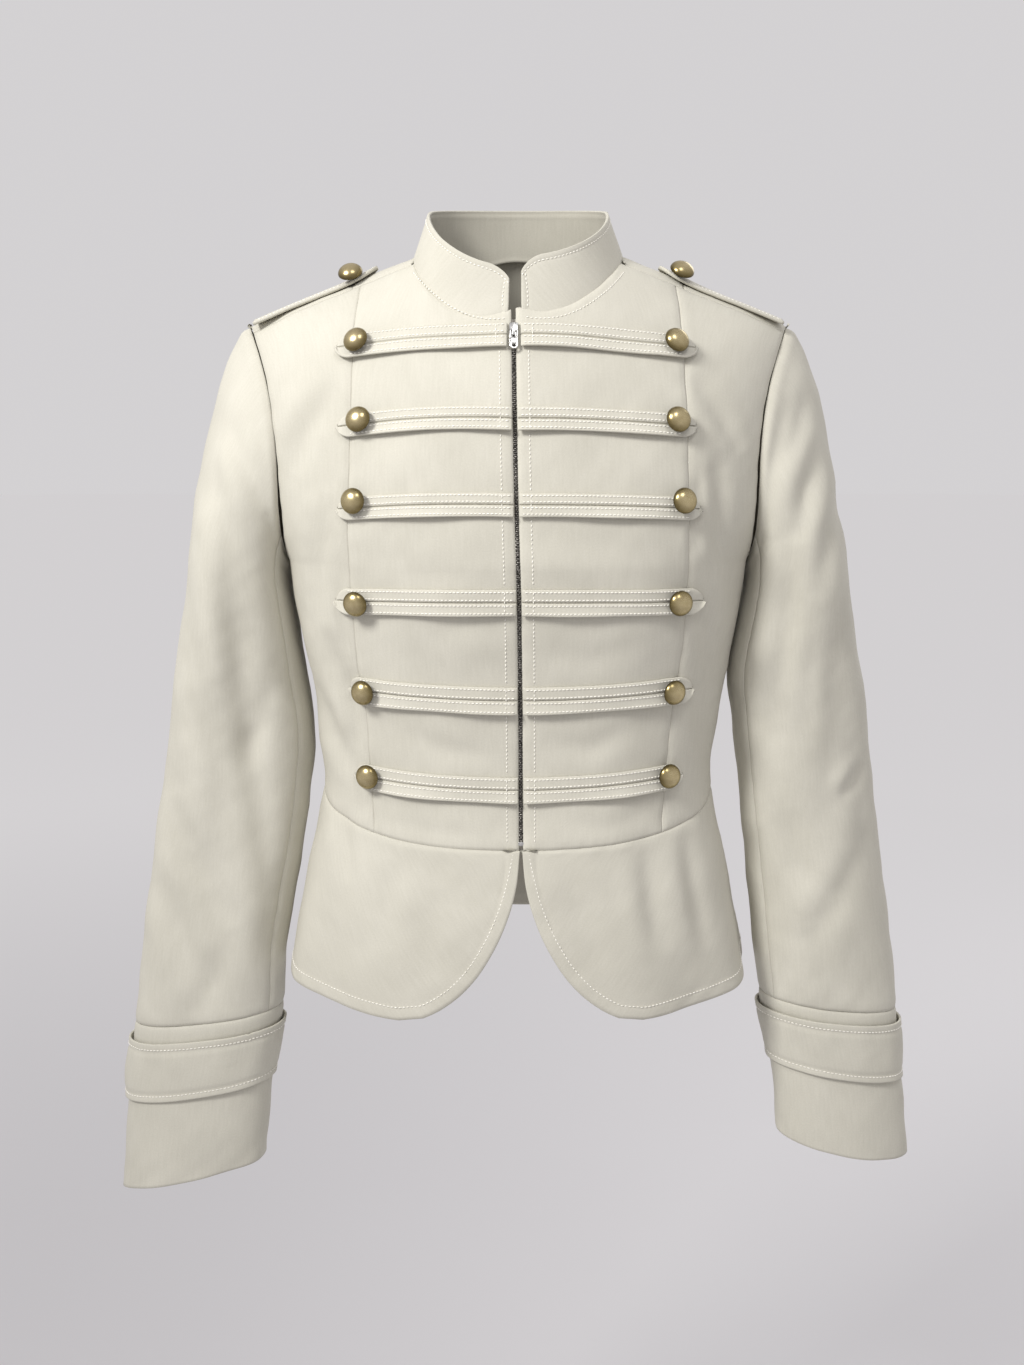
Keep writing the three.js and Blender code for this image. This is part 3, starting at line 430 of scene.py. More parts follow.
def body(angle, v):
    """Point of the body: angle 0 in front, 90 at the side; v is mm under the underarm level
    where negative, and degrees of the arch to the shoulder line where positive."""
    angle, v = np.broadcast_arrays(np.asarray(angle, float), np.asarray(v, float))
    s = np.radians(angle)
    behind = np.cos(s) < 0
    z = UNDERARM + np.minimum(v, 0)
    down = np.maximum(0, -400 - z) / 138
    flare = 0
    for at, wide, deep in FLUTES:
        off = np.abs(angle - at) % 360
        flare = flare + deep * hill(np.minimum(off, 360 - off), wide)
    flare = flare * down**1.3
    half = curve(SECTIONS, z, 1) + flare
    deep = np.where(behind, curve(SECTIONS, z, 3), curve(SECTIONS, z, 2)) + flare
    low = xyz(half * power(np.sin(s), SQUARE), -deep * power(np.cos(s), SQUARE), z)
    arch = np.radians(np.clip(v, 0, 90))
    rise = np.clip(v / 90, 0, 1)
    x = (165 + (SHOULDER - 165) * (1 - (1 - rise) ** 4)) * power(np.sin(s), SQUARE)
    bend = np.where(behind, 0.8, 1.0)
    up = UNDERARM + (ridge(x, behind) - UNDERARM) * np.sin(arch) ** bend
    reach = np.where(behind, 90, 106) * np.maximum(0, np.cos(arch)) ** bend
    high = xyz(x, -reach * power(np.cos(s), SQUARE), up)
    return np.where((v > 0)[..., None], high, low)


def body_over(angle, v):
    """The back's surface, which runs over the shoulder line and a little down the front."""
    angle, v = np.broadcast_arrays(np.asarray(angle, float), np.asarray(v, float))
    side = np.where(angle < 0, -1, 1)
    over = v > 90
    return body(np.where(over, side * (180 - np.abs(angle)), angle), np.where(over, 180 - v, v))


def front_place(x, z):
    """Angle and height code of the front's point at a given x and z."""
    x, z = np.broadcast_arrays(np.asarray(x, float), np.asarray(z, float))
    share = np.clip((z - UNDERARM) / (ridge(x) - UNDERARM), 0, 0.9999)
    v = np.where(z > UNDERARM, np.degrees(np.arcsin(share)), z - UNDERARM)
    rise = np.clip(v / 90, 0, 1)
    half = np.where(v > 0, 165 + (SHOULDER - 165) * (1 - (1 - rise) ** 4), curve(SECTIONS, z, 1))
    return np.sign(x) * np.degrees(np.arcsin(np.minimum(1, (np.abs(x) / half) ** (1 / SQUARE)))), v


print("chest point:", body(0, -10).round(1), " shoulder point:", body(60, 88).round(1))

# %% [markdown]
# ## Creases and drag lines
# Worn cloth hangs in soft troughs where it has room and in drag lines where it is pulled.
# A simulation would have to be told all of it anyway, so each crease is laid as a line
# with a width and a depth. The depth fades towards both ends of the line. A line has
# a softer ridge beside it, as the cloth that a trough takes must come from somewhere.
# On top lies a slow unevenness, the same every time because its waves are seeded.

# %% Laying creases
def crease(points, line, width, depth, lean=0.0):
    """Depth of one crease at points given by two numbers each. line is its run of places."""
    line = np.asarray(line, float)
    best = np.full(points.shape[:-1], 1e9)
    along = np.zeros(points.shape[:-1])
    side = np.zeros(points.shape[:-1])
    lengths = np.linalg.norm(np.diff(line, axis=0), axis=1)
    total = lengths.sum()
    before = 0.0
    for a, b, length in zip(line[:-1], line[1:], lengths):
        way = (b - a) / length
        gap = points - a
        t = gap @ way
        clamped = np.clip(t, 0, length)
        away = np.linalg.norm(gap - clamped[..., None] * way, axis=-1)
        nearer = away < best
        best = np.where(nearer, away, best)
        along = np.where(nearer, (before + clamped) / total, along)
        side = np.where(nearer, gap[..., 0] * way[1] - gap[..., 1] * way[0], side)
        before += length
    fade = np.clip(np.sin(np.pi * np.clip(along, 0.02, 0.98)), 0, 1) ** 0.7
    trough = hill(best, width) - 0.45 * hill(side - np.sign(lean or 1) * width * 1.9, width * 1.1) * (
        best < 5 * width
    )
    return depth * fade * trough


rng = np.random.default_rng(41)
WAVES = []
for reach, height, count in ((95, 0.6, 9), (42, 0.30, 10), (17, 0.075, 12)):
    for _ in range(count):
        way = rng.normal(size=3)
        way /= np.linalg.norm(way)
        WAVES.append((way * 2 * np.pi / (reach * rng.uniform(0.75, 1.3)), rng.uniform(0, 6.28), height / count**0.5))


def unevenness(points):
    """A slow rolling of the cloth, in mm."""
    return sum(h * np.sin(points @ k + phase) for k, phase, h in WAVES)


print("unevenness at the chest, mm:", round(float(unevenness(body(0, -10))), 3))

# %% The creases of the body
# lines in x and z, then width and depth; a trough has a negative depth
FRONT_CREASES = [
    ([(116, -92), (137, -119), (153, -146)], 7, -2.6),
    ([(133, -140), (137, -178), (137, -226)], 7, -3.2),
    ([(119, -150), (121, -186), (120, -214)], 5, -2.2),
    ([(120, -238), (132, -268), (139, -318)], 8, -2.9),
    ([(125, -300), (133, -340), (141, -374)], 8, -2.6),
    ([(148, -196), (150, -250), (149, -300)], 8, -2.2),
    ([(-122, -98), (-142, -128), (-155, -160)], 8, -2.4),
    ([(-128, -170), (-134, -220), (-135, -262)], 8, -2.6),
    ([(-136, -262), (-124, -300), (-108, -336)], 7, -2.6),
    ([(-121, -205), (-122, -246), (-117, -284)], 6, -2.2),
    ([(-148, -306), (-130, -342), (-112, -372)], 8, -2.8),
    ([(-118, -290), (-116, -320), (-112, -352)], 6, -2.0),
    ([(-60, -262), (-30, -256), (-6, -262)], 10, -1.0),
    ([(-96, -210), (-60, -222), (-24, -220)], 9, -0.8),
    ([(12, -196), (42, -206), (74, -202)], 10, -1.0),
    ([(-80, -332), (-50, -346), (-12, -350)], 8, -1.2),
    ([(14, -338), (48, -345), (82, -330)], 8, -1.2),
    ([(18, -276), (50, -282), (88, -270)], 9, -0.9),
    ([(-94, -398), (-60, -404), (-22, -405)], 7, -1.1),
    ([(30, -396), (62, -400), (92, -392)], 7, -1.0),
    ([(88, -416), (93, -450), (101, -492)], 8, -3.0),
    ([(118, -408), (124, -446), (134, -494)], 7, -3.4),
    ([(-126, -392), (-123, -420), (-121, -446)], 6, -2.6),
    ([(-88, -424), (-92, -456), (-96, -488)], 9, -1.8),
    ([(-60, -440), (-62, -470), (-60, -505)], 11, -1.2),
    ([(30, -424), (50, -470), (60, -500)], 12, -1.4),
]
BACK_CREASES = [
    ([(150, -130), (128, -160), (110, -178)], 9, -2.6),
    ([(-150, -126), (-126, -158), (-106, -182)], 9, -2.4),
    ([(140, -196), (112, -226), (92, -240)], 9, -2.0),
    ([(-142, -204), (-118, -232), (-96, -244)], 9, -2.2),
    ([(84, -300), (40, -322), (-10, -330)], 9, -1.8),
    ([(-92, -316), (-48, -340), (4, -346)], 9, -1.8),
    ([(110, -330), (70, -352), (30, -362)], 8, -1.6),
    ([(-112, -344), (-76, -362), (-34, -368)], 8, -1.5),
    ([(-40, -70), (0, -78), (44, -68)], 10, -1.2),
    ([(60, -410), (66, -460), (70, -510)], 10, -2.0),
    ([(-52, -412), (-58, -462), (-62, -512)], 10, -2.0),
]


def drape(points, calm=1.0):
    """How far the body's cloth lies outside its smooth surface, in mm."""
    flat = points[..., [0, 2]]
    ahead = smooth((10 - points[..., 1]) / 30)
    sag = unevenness(points) * calm
    for line, width, depth in FRONT_CREASES:
        sag = sag + ahead * crease(flat, line, width, depth)
    for line, width, depth in BACK_CREASES:
        sag = sag + (1 - ahead) * crease(flat, line, width, depth)
    return sag


print("creases in front:", len(FRONT_CREASES), " behind:", len(BACK_CREASES))

# %% [markdown]
# ## From a grid of points to a sewn panel
# A panel has an outside, an inside 1.4 mm below it, and a folded edge all round. The grid's
# own neighbours give the normals. Along a seam the cloth is pulled under, so the last few
# millimetres dip. That dip is what makes a seam visible as a soft line. The map for
# the weave is measured along the grid, in metres.

# %% Helpers for grids
def normals_of(points, ring=False):
    """Unit normals of a grid of points, by its own neighbours."""
    down = np.gradient(points, axis=0)
    if ring:
        across = 0.5 * (np.roll(points, -1, 1) - np.roll(points, 1, 1))
    else:
        across = np.gradient(points, axis=1)
    n = np.cross(across, down)
    return n / np.maximum(np.linalg.norm(n, axis=-1, keepdims=True), 1e-9)


def outward(normals, points, middle):
    """Turns a whole grid of normals so that it points away from a middle."""
    if np.sum(normals * (points - np.asarray(middle, float))) < 0:
        return -normals
    return normals


def measured(points, axis):
    """Distance along a grid from its first row or column."""
    step = np.linalg.norm(np.diff(points, axis=axis), axis=-1)
    zero = np.zeros_like(np.take(step, [0], axis))
    return np.concatenate([zero, np.cumsum(step, axis)], axis)


def edge_distance(points, sides):
    """Distance of each grid point from the nearest of the named edges: t, b, l, r."""
    down, across = measured(points, 0), measured(points, 1)
    found = np.full(points.shape[:2], 1e9)
    if "t" in sides:
        found = np.minimum(found, down)
    if "b" in sides:
        found = np.minimum(found, down[-1:] - down)
    if "l" in sides:
        found = np.minimum(found, across)
    if "r" in sides:
        found = np.minimum(found, across[:, -1:] - across)
    return found


def spread(count, ends=0.5):
    """Numbers from 0 to 1 that stand closer together near both ends."""
    t = np.linspace(0, 1, count)
    return mix(t, smooth(t), ends)


print("spread of five:", spread(5).round(3))


# %% Making the mesh of a panel
def sewn(name, points, normals, material, thick=1.4, ring=False, back=None, node=None, ride="jacket"):
    """Builds a closed thin wall from a grid in mm and hides the solid part that it stands for."""
    rows, cols = points.shape[:2]
    depth = np.broadcast_to(np.asarray(thick, float), (rows, cols))[..., None]
    inner = points - normals * depth
    skins = np.concatenate([points.reshape(-1, 3), inner.reshape(-1, 3)])
    i, j = np.meshgrid(np.arange(rows - 1), np.arange(cols if ring else cols - 1), indexing="ij")
    a = (i * cols + j).ravel()
    b = (i * cols + (j + 1) % cols).ravel()
    c = ((i + 1) * cols + (j + 1) % cols).ravel()
    d = ((i + 1) * cols + j).ravel()
    lower = rows * cols
    quads = [np.stack([a, b, c, d], 1), np.stack([d, c, b, a], 1) + lower]
    rim = [(np.arange(cols), ring), ((rows - 1) * cols + np.arange(cols)[::-1], ring)]
    if not ring:
        rim = [np.concatenate([
            np.arange(cols), np.arange(1, rows) * cols + cols - 1,
            (rows - 1) * cols + np.arange(cols - 2, -1, -1), np.arange(rows - 2, 0, -1) * cols,
        ])]
    else:
        rim = [r for r, _ in rim]
    extra = []
    count = len(skins)
    for loop in rim:
        loop = np.asarray(loop)
        here = skins[loop]
        below = skins[loop + lower]
        away = inner_way(points, loop, rows, cols, ring)
        middle = 0.5 * (here + below) + away * 0.3
        extra.append(middle)
        ids = count + np.arange(len(loop))
        nxt = np.roll(np.arange(len(loop)), -1)
        quads.append(np.stack([loop[nxt], loop, ids, ids[nxt]], 1))
        quads.append(np.stack([ids[nxt], ids, loop + lower, loop[nxt] + lower], 1))
        count += len(loop)
    skins = np.concatenate([skins, *extra])
    faces = np.concatenate(quads)
    flip = signed_volume(skins, faces) < 0
    if flip:
        faces = faces[:, ::-1]
    mesh = bpy.data.meshes.new(name)
    mesh.from_pydata((skins * MM).tolist(), [], faces.tolist())
    across = measured(points, 1)
    across = across - across[:, [cols // 2]]
    down = measured(points, 0)
    chart = np.stack([across, -down], -1).reshape(-1, 2) * MM
    chart = np.concatenate([chart, chart] + [chart[np.asarray(r)] for r in rim])
    layer = mesh.uv_layers.new(name="cloth")
    corners = np.empty(len(mesh.loops), np.int64)
    mesh.loops.foreach_get("vertex_index", corners)
    layer.data.foreach_set("uv", chart[corners].ravel())
    mesh.materials.append(material)
    # The inner skin takes the second finish, the darker twill with painted shade.
    if back is not None:
        mesh.materials.append(back)
        inside = np.zeros(len(faces), np.int32)
        inside[len(a):2 * len(a)] = 1
        mesh.polygons.foreach_set("material_index", inside)
    mesh.polygons.foreach_set("use_smooth", np.ones(len(faces), bool))
    mesh.update()
    made = bpy.data.objects.new(name, mesh)
    bpy.context.scene.collection.objects.link(made)
    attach(made, ride)
    if node:
        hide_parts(node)
    return made


def inner_way(points, loop, rows, cols, ring):
    """Unit directions in the cloth's plane that leave the panel across its rim."""
    flat = points.reshape(-1, 3)
    row, col = loop // cols, loop % cols
    row_in = np.clip(row, 1, rows - 2) if rows > 2 else row
    col_in = col if ring else (np.clip(col, 1, cols - 2) if cols > 2 else col)
    away = flat[loop] - points[row_in, col_in]
    return away / np.maximum(np.linalg.norm(away, axis=1, keepdims=True), 1e-9)


def signed_volume(points, faces):
    a, b, c, d = (points[faces[:, k]] for k in range(4))
    return float(np.sum(a * np.cross(b, c)) + np.sum(a * np.cross(c, d)))


def half_area(made):
    """Area of one skin of a panel, in square metres."""
    return sum(p.area for p in made.data.polygons) / 2


print("helpers for panels ready")

# %% [markdown]
# ## The body panels
# Each front is cut in two by a seam over the bust, and the back in three. The seams are
# lines in the table below. A panel's columns run from the waist seam up to the neckline
# or the shoulder seam, which lies forward of the shoulder line. The armhole cuts the side
# panels. The panels' rows and columns stand closer together along the edges.

# %% The seams of the body
PRINCESS = [
    (-10, 109), (-60, 111), (-140, 113), (-190, 114.5), (-232, 114.5), (-292, 111.5),
    (-320, 107.5), (-352, 105), (-400, 101.5),
]
BACK_SEAM = [(0, 120), (-60, 112), (-140, 104), (-232, 94), (-320, 78), (-400, 72)]
ZIP_LINE = [(-40, -3.6), (-175, -1.6), (-240, 0.2), (-310, 1.2), (-415, 1.8)]


def half_width(v):
    rise = np.clip(np.minimum(v, 180 - v) / 90, 0, 1)
    return np.where(v > 0, 165 + (SHOULDER - 165) * (1 - (1 - rise) ** 4), curve(SECTIONS, UNDERARM + v, 1))


def seam_angle(table, side, behind):
    def at(v):
        v = np.asarray(v, float)
        sine = np.sin(np.radians(np.clip(np.minimum(v, 180 - v), 0, 90)))
        z = np.where(v <= 0, UNDERARM + v, UNDERARM + 175 * sine)
        for _ in range(3):
            x = curve(table, z)
            z = np.where(v > 0, UNDERARM + (ridge(x) - UNDERARM) * sine, z)
        a = np.degrees(np.arcsin(np.minimum(1, (curve(table, z) / half_width(v)) ** (1 / SQUARE))))
        return side * (180 - a if behind else a)
    return at


def zip_angle(side, half_gap=1.5):
    def at(v):
        v = np.asarray(v, float)
        sine = np.sin(np.radians(np.clip(v, 0, 90)))
        z = np.where(v <= 0, UNDERARM + v, UNDERARM + 241 * sine)
        x = curve(ZIP_LINE, z) + side * half_gap
        half = np.where(v > 0, 180, curve(SECTIONS, UNDERARM + np.minimum(v, 0), 1))
        return np.sign(x) * np.degrees(np.arcsin((np.abs(x) / half) ** (1 / SQUARE)))
    return at


def armhole_angle(v, behind):
    u = np.clip(np.asarray(v, float) / 90, 0, 1)
    cut = (24 if behind else 28) * np.sin(np.pi * u**0.65)
    return 90 + cut if behind else 90 - cut


def waist_code(angle):
    return -385 - 30 * np.maximum(0, np.cos(np.radians(angle))) ** 1.1 - UNDERARM


def neck_power(x):
    """From above the neckline is an ellipse behind and a squarer curve in front."""
    return np.where(x < 0, 2.75, 2.25)


def top_code(angle, behind):
    """Height code where a column meets the neckline or the shoulder seam."""
    seam = 105.0 if behind else 75.0
    def in_neck(v):
        p = body_over(angle, v)
        behind_neck = p[..., 1] > 0
        reach = np.where(behind_neck, NECK_BACK, NECK_FRONT)
        n = np.where(behind_neck, 2, neck_power(p[..., 0]))
        return (np.abs(p[..., 0]) / NECK_HALF) ** n + (np.abs(p[..., 1]) / reach) ** n < 1
    low = np.full(np.shape(angle), 1.0)
    high = np.full(np.shape(angle), seam)
    meets = in_neck(high)
    for _ in range(34):
        middle = 0.5 * (low + high)
        inside = in_neck(middle)
        high = np.where(inside, middle, high)
        low = np.where(inside, low, middle)
    return np.where(meets, low, seam)


def panel_points(first, second, fractions, behind, rows_down, rows_up):
    """A panel's grid between two seams, from its top row down to the waist seam."""
    def at(f, v):
        return mix(first(v), second(v), f)
    f = np.asarray(fractions, float)
    a = at(f, -150.0)
    for _ in range(6):
        a = at(f, waist_code(a))
    bottom = waist_code(a)
    top = np.full(f.shape, 60.0)
    for _ in range(8):
        top = top_code(at(f, top), behind)
    grid = []
    for u in np.linspace(0, 1, rows_up, endpoint=False):
        grid.append(mix(top, 62, smooth(u / 0.65)) * (1 - u) ** 0.95)
    for u in np.linspace(0, 1, rows_down + 1):
        grid.append(bottom * u)
    v = np.array(grid)
    return body_over(at(f[None], v), v)


print("waist seam height in front, mm:", round(float(UNDERARM + waist_code(0)), 1))


# %% Sewing one body panel
SEWN = {}


def tucked(points, normals, sides, free="", depth=0.9, reach=2.6):
    """Pulls a panel's seam edges under; free edges stay as they are."""
    near = edge_distance(points, "".join(s for s in sides if s not in free))
    pucker = 0.12 * np.sin(measured(points, 0) / 2.9 + measured(points, 1) / 3.7) * hill(near, 7)
    return points + normals * (pucker - depth * hill(near, reach))[..., None]


def drawn_in(points, by, sides="tblr"):
    """Moves the edge rows and columns in by a hair, to leave the seam's gap."""
    points = points.copy()
    def pull(edge, inner):
        way = inner - edge
        return edge + by * way / np.linalg.norm(way, axis=-1, keepdims=True)
    if "l" in sides:
        points[:, 0] = pull(points[:, 0], points[:, 1])
    if "r" in sides:
        points[:, -1] = pull(points[:, -1], points[:, -2])
    if "t" in sides:
        points[0] = pull(points[0], points[1])
    if "b" in sides:
        points[-1] = pull(points[-1], points[-2])
    return points


def declare(made, points):
    width = float(measured(points, 1)[:, -1].max()) * MM
    length = float(measured(points, 0)[-1].max()) * MM
    area = min(half_area(made), width * length)
    SEWN[made.name] = (width, length, area)
    print(f"{made.name}: cut {width*1000:.0f} x {length*1000:.0f} mm, {area*1e4:.0f} cm2, {len(made.data.polygons)} faces")


def body_panel(name, node, points):
    base_normals = outward(normals_of(points), points, (0, 0, -250))
    points = points + base_normals * drape(points)[..., None]
    points = drawn_in(points, 0.17)
    normals = outward(normals_of(points), points, (0, 0, -250))
    points = tucked(points, normals, "tblr")
    made = sewn(name, points, normals, twill, back=inside_twill_painted_shade, node=node)
    declare(made, points)
    return made


print("ready to sew body panels")

# %% The fronts, side fronts and side backs
for word, sign in (("left", -1), ("right", 1)):
    princess = seam_angle(PRINCESS, sign, False)
    corner = math.degrees(math.asin((NECK_HALF / (SHOULDER * 0.997)) ** (1 / SQUARE)))
    start, stop = float(zip_angle(sign)(75)), float(princess(75))
    f = (corner * sign - start) / (stop - start) + 0.004
    fractions = np.concatenate([spread(34) * f, f + (1 - f) * spread(16)[1:]])
    body_panel(
        f"front_cloth_{word}", f"front_{word}",
        panel_points(zip_angle(sign), princess, fractions, False, 78, 76),
    )

    def hole(v, sign=sign):
        return sign * np.where(v <= 0, 90, armhole_angle(v, False))

    body_panel(
        f"side_front_cloth_{word}", f"side_front_{word}",
        panel_points(princess, hole, spread(40), False, 76, 82),
    )

    def hole_behind(v, sign=sign):
        over = 180 - armhole_angle(180 - v, False)
        return sign * np.where(v <= 0, 90, np.where(v <= 90, armhole_angle(v, True), over))

    body_panel(
        f"side_back_cloth_{word}", f"side_back_{word}",
        panel_points(seam_angle(BACK_SEAM, sign, True), hole_behind, spread(44), True, 70, 96),
    )

# %% [markdown]
# ### The middle of the back
# The middle back is one panel on the fold. Its columns run right across, so its two seams are
# the left and right back seams, and the neckline is cut out of its top by the same rule.

# %% The centre back
left_seam = seam_angle(BACK_SEAM, -1, True)
right_seam = seam_angle(BACK_SEAM, 1, True)
corner = 180 - math.degrees(math.asin((NECK_HALF / (SHOULDER * 0.997)) ** (1 / SQUARE)))
f = (180 - corner) / (180 - float(right_seam(105))) + 0.004
half_columns = np.concatenate([np.linspace(0, 1, 26) * f, f + (1 - f) * spread(13)[1:]])
columns = []
for k in np.concatenate([-half_columns[:0:-1], half_columns]):
    if k < 0:
        way = lambda v, k=k: -180 + (180 + left_seam(v)) * -k
    else:
        way = lambda v, k=k: 180 - (180 - right_seam(v)) * k
    columns.append(panel_points(way, way, [0.0], True, 70, 96)[:, 0])
body_panel("back_cloth", "back", np.stack(columns, 1))

# %% [markdown]
# ## The peplum
# A peplum is the short skirt under the waist seam. It is cut flared, so it falls in shallow
# flutes, and its fronts are rounded off from the zip to the hem. The hem is turned up and
# stitched 9 mm above the fold, which stiffens it: between the row of stitches and the edge
# the cloth is thicker, and it puckers a little along the row.

# %% The shape of the peplum
PEPLUM_EDGE = [
    (-414, 0.9), (-440, 3.6), (-461, 9.5), (-483, 19.5), (-505, 34.5), (-520, 51),
    (-528.5, 66), (-531.8, 77), (-532.5, 88),
]


def hem_height(angle):
    return -519 - 15.5 * np.maximum(0, np.cos(np.radians(angle))) ** 1.3


def angle_at(x, z):
    half = curve(SECTIONS, z, 1)
    return np.sign(x) * np.degrees(np.arcsin(np.minimum(1, (np.abs(x) / half) ** (1 / SQUARE))))


def peplum_front(sign, rows, cols):
    down = np.linspace(0, 1, rows)[:, None]
    round_off = spread(cols, 0.3)[None]
    start = round_off**1.35
    rest = np.maximum(0, (start - 1 / 2.2) / (1 - 1 / 2.2))
    edge_z = mix(-414.5, -532.5, np.minimum(1, start * 2.2) ** 0.8)
    edge_x = curve(PEPLUM_EDGE, np.maximum(-532.5, edge_z))
    zip_x = float(curve(ZIP_LINE, -415))
    bottom = np.where(round_off < 1 / 2.2 ** (1 / 1.35), edge_z, hem_height(sign * mix(27, 90, rest)))
    on_edge = angle_at(zip_x + sign * edge_x, bottom)
    low = np.where(start * 2.2 < 1, on_edge, mix(on_edge, sign * 90, rest))
    high = mix(float(angle_at(zip_x + sign * 1.2, -405)), sign * 90, round_off)
    a = mix(high, low, down)
    return a, mix(UNDERARM + waist_code(a), bottom, down)


def hem_swell(points, sides, row_at=9.0):
    """The turned-up hem: a low step over the doubled cloth and small puckers on its row."""
    near = edge_distance(points, sides)
    way = measured(points, 1)
    ripple = np.sin(way / 3.1) + 0.7 * np.sin(way / 5.3 + 1.0)
    doubled = 0.35 * smooth((row_at + 1.0 - near) / 2.0)
    return doubled - 0.35 * hill(near - row_at, 1.3) + 0.16 * ripple * hill(near - row_at * 0.7, 6)


for word, sign in (("left", -1), ("right", 1)):
    a, z = peplum_front(sign, 52, 92)
    points = body(a, z - UNDERARM)
    base_normals = outward(normals_of(points), points, (0, 0, -450))
    points = points + base_normals * drape(points)[..., None]
    points = drawn_in(points, 0.17, "tlr")
    normals = outward(normals_of(points), points, (0, 0, -450))
    points = tucked(points, normals, "tr", free="b")
    points = points + normals * hem_swell(points, "b")[..., None]
    made = sewn(f"peplum_cloth_{word}", points, normals, twill, back=inside_twill_painted_shade, node=f"peplum_front_{word}")
    declare(made, points)

a = np.linspace(90, 270, 170)[None]
down = np.linspace(0, 1, 56)[:, None]
points = body(np.where(a > 180, a - 360, a), mix(UNDERARM + waist_code(a), hem_height(a), down) - UNDERARM)
base_normals = outward(normals_of(points), points, (0, 0, -450))
points = points + base_normals * drape(points)[..., None]
points = drawn_in(points, 0.17, "tlr")
normals = outward(normals_of(points), points, (0, 0, -450))
points = tucked(points, normals, "tlr", free="b")
points = points + normals * hem_swell(points, "b")[..., None]
BACK_HEM = points
made = sewn("peplum_cloth_back", points, normals, twill, back=inside_twill_painted_shade, node="peplum_back")
declare(made, points)

# %% [markdown]
# ## The stand collar
# The collar is a curved band, cut double and turned, so it is thicker than the rest. It
# leans in towards the neck, is taller behind than in front, and its two front ends are
# rounded off and stand about a centimetre apart. A row of stitches runs 4 mm inside its edge.

# %% The collar
def neck_point(turn):
    x = NECK_HALF * np.sin(turn)
    behind = np.cos(turn) < 0
    n = neck_power(x)
    ahead = np.maximum(0, 1 - np.abs(np.sin(turn)) ** n) ** (1 / n)
    y = np.where(behind, -NECK_BACK * np.cos(turn), -NECK_FRONT * ahead)
    across = (1 - (np.abs(x) / (SHOULDER - 0.5)) ** (2 / SQUARE)) ** (SQUARE / 2)
    bend = np.where(behind, 0.8, 1.0)
    c = (np.abs(y) / (np.where(behind, 90, 106) * across)) ** (1 / bend)
    return xyz(x, y, UNDERARM + (ridge(x, behind) - UNDERARM) * np.sqrt(np.maximum(0, 1 - c * c)) ** bend)


def collar_top(turn):
    c = np.cos(turn)
    fall = np.where(turn > math.pi, 45.5, 38.5)
    return np.where(c > 0, 21 - fall * np.maximum(c, 0) ** 1.1, 21 + 9 * np.maximum(-c, 0) ** 0.7)


COLLAR_FROM, COLLAR_TO = math.radians(1.6), 2 * math.pi - math.radians(5.4)


def collar_point(t, u):
    """t runs round from the right front end to the left one, u up from the seam."""
    t, u = np.broadcast_arrays(np.asarray(t, float), np.asarray(u, float))
    turn = mix(COLLAR_FROM, COLLAR_TO, t - 0.045 * np.sin(2 * np.pi * t))
    base = neck_point(turn) * (0.99, 0.99, 1)
    off = np.minimum(turn - COLLAR_FROM, COLLAR_TO - turn)
    corner = np.minimum(1, (off + 0.02) / 0.26)
    tall = np.sqrt(1 - (1 - corner) ** 2) * 0.5 + 0.5
    top = np.stack([base[..., 0] * 0.865, base[..., 1] * 0.91 - 1, collar_top(turn)], -1)
    place = mix(base, top, (0.022 + u * tall * 0.978)[..., None])
    return place + (0, 0, 1.25)


t = np.concatenate([np.linspace(0, 0.06, 22, endpoint=False), np.linspace(0.06, 0.94, 170, endpoint=False), np.linspace(0.94, 1, 23)])
points = collar_point(t[None], np.concatenate([spread(30, 0.6)[::-1], [-0.04, -0.08, -0.13, -0.18]])[:, None])
normals = outward(normals_of(points), points, (0, -15, 0))
wave = unevenness(points) * 0.5 - 0.25 * hill(edge_distance(points, "tlr") - 4.0, 1.0)
wave = wave + 0.35 * smooth((4.5 - edge_distance(points, "tlr")) / 2) - 0.5 * hill(edge_distance(points, "b"), 2.0)
points = points + normals * wave[..., None]
normals = outward(normals_of(points), points, (0, -15, 0))
COLLAR = points
made = sewn("collar_cloth", points, normals, twill, thick=2.2, back=inside_twill_painted_shade, node="collar")
declare(made, points)

# %% [markdown]
# ## The sleeves
# A tailored sleeve has a top piece and an under piece. It starts on the armhole with a
# rounded cap, bends a little forward at the elbow, and narrows to the cuff. The sleeve is
# one tube in two numbers, the degrees round it and the way down it, and its two pieces are
# cut from it at the seams. Both sleeves hang with their own folds, listed one by one: long
# soft troughs down the front, drag lines from the underarm, and breaks above the cuff.

# %% The tube of a sleeve
SLEEVE = [
    (-256, 165, 246, 165, 245, 56, -2, 0.0), (-300, 158, 253, 157.5, 253, 51, -3, 0.01),
    (-350, 153, 260, 161, 261.5, 45, -4, 0.02), (-408, 158, 270, 168, 270, 40, 0, 0.04),
    (-464, 167, 278, 174, 277, 37, 5, 0.07), (-517, 176, 285, 180, 283.5, 34, 12, 0.1),
    (-560, 178, 289, 185, 286, 32, 18, 0.12), (-616, 186, 295, 192, 289.5, 31, 27, 0.16),
    (-680, 191, 299, 195, 294, 30, 37, 0.23),
]
BIG_FOLDS = {
    -1: [(100, -330, 20, 110, -5, 0.1), (55, -430, 20, 80, -4, -0.25), (125, -470, 18, 70, 3, 0.1), (290, -380, 24, 110, -4, 0.1)],
    1: [(110, -260, 20, 70, -5, 0.1), (50, -360, 22, 100, -4, 0.15), (95, -480, 22, 80, 3, -0.1), (285, -400, 24, 110, -4, 0.1)],
}
CAP_END = -256


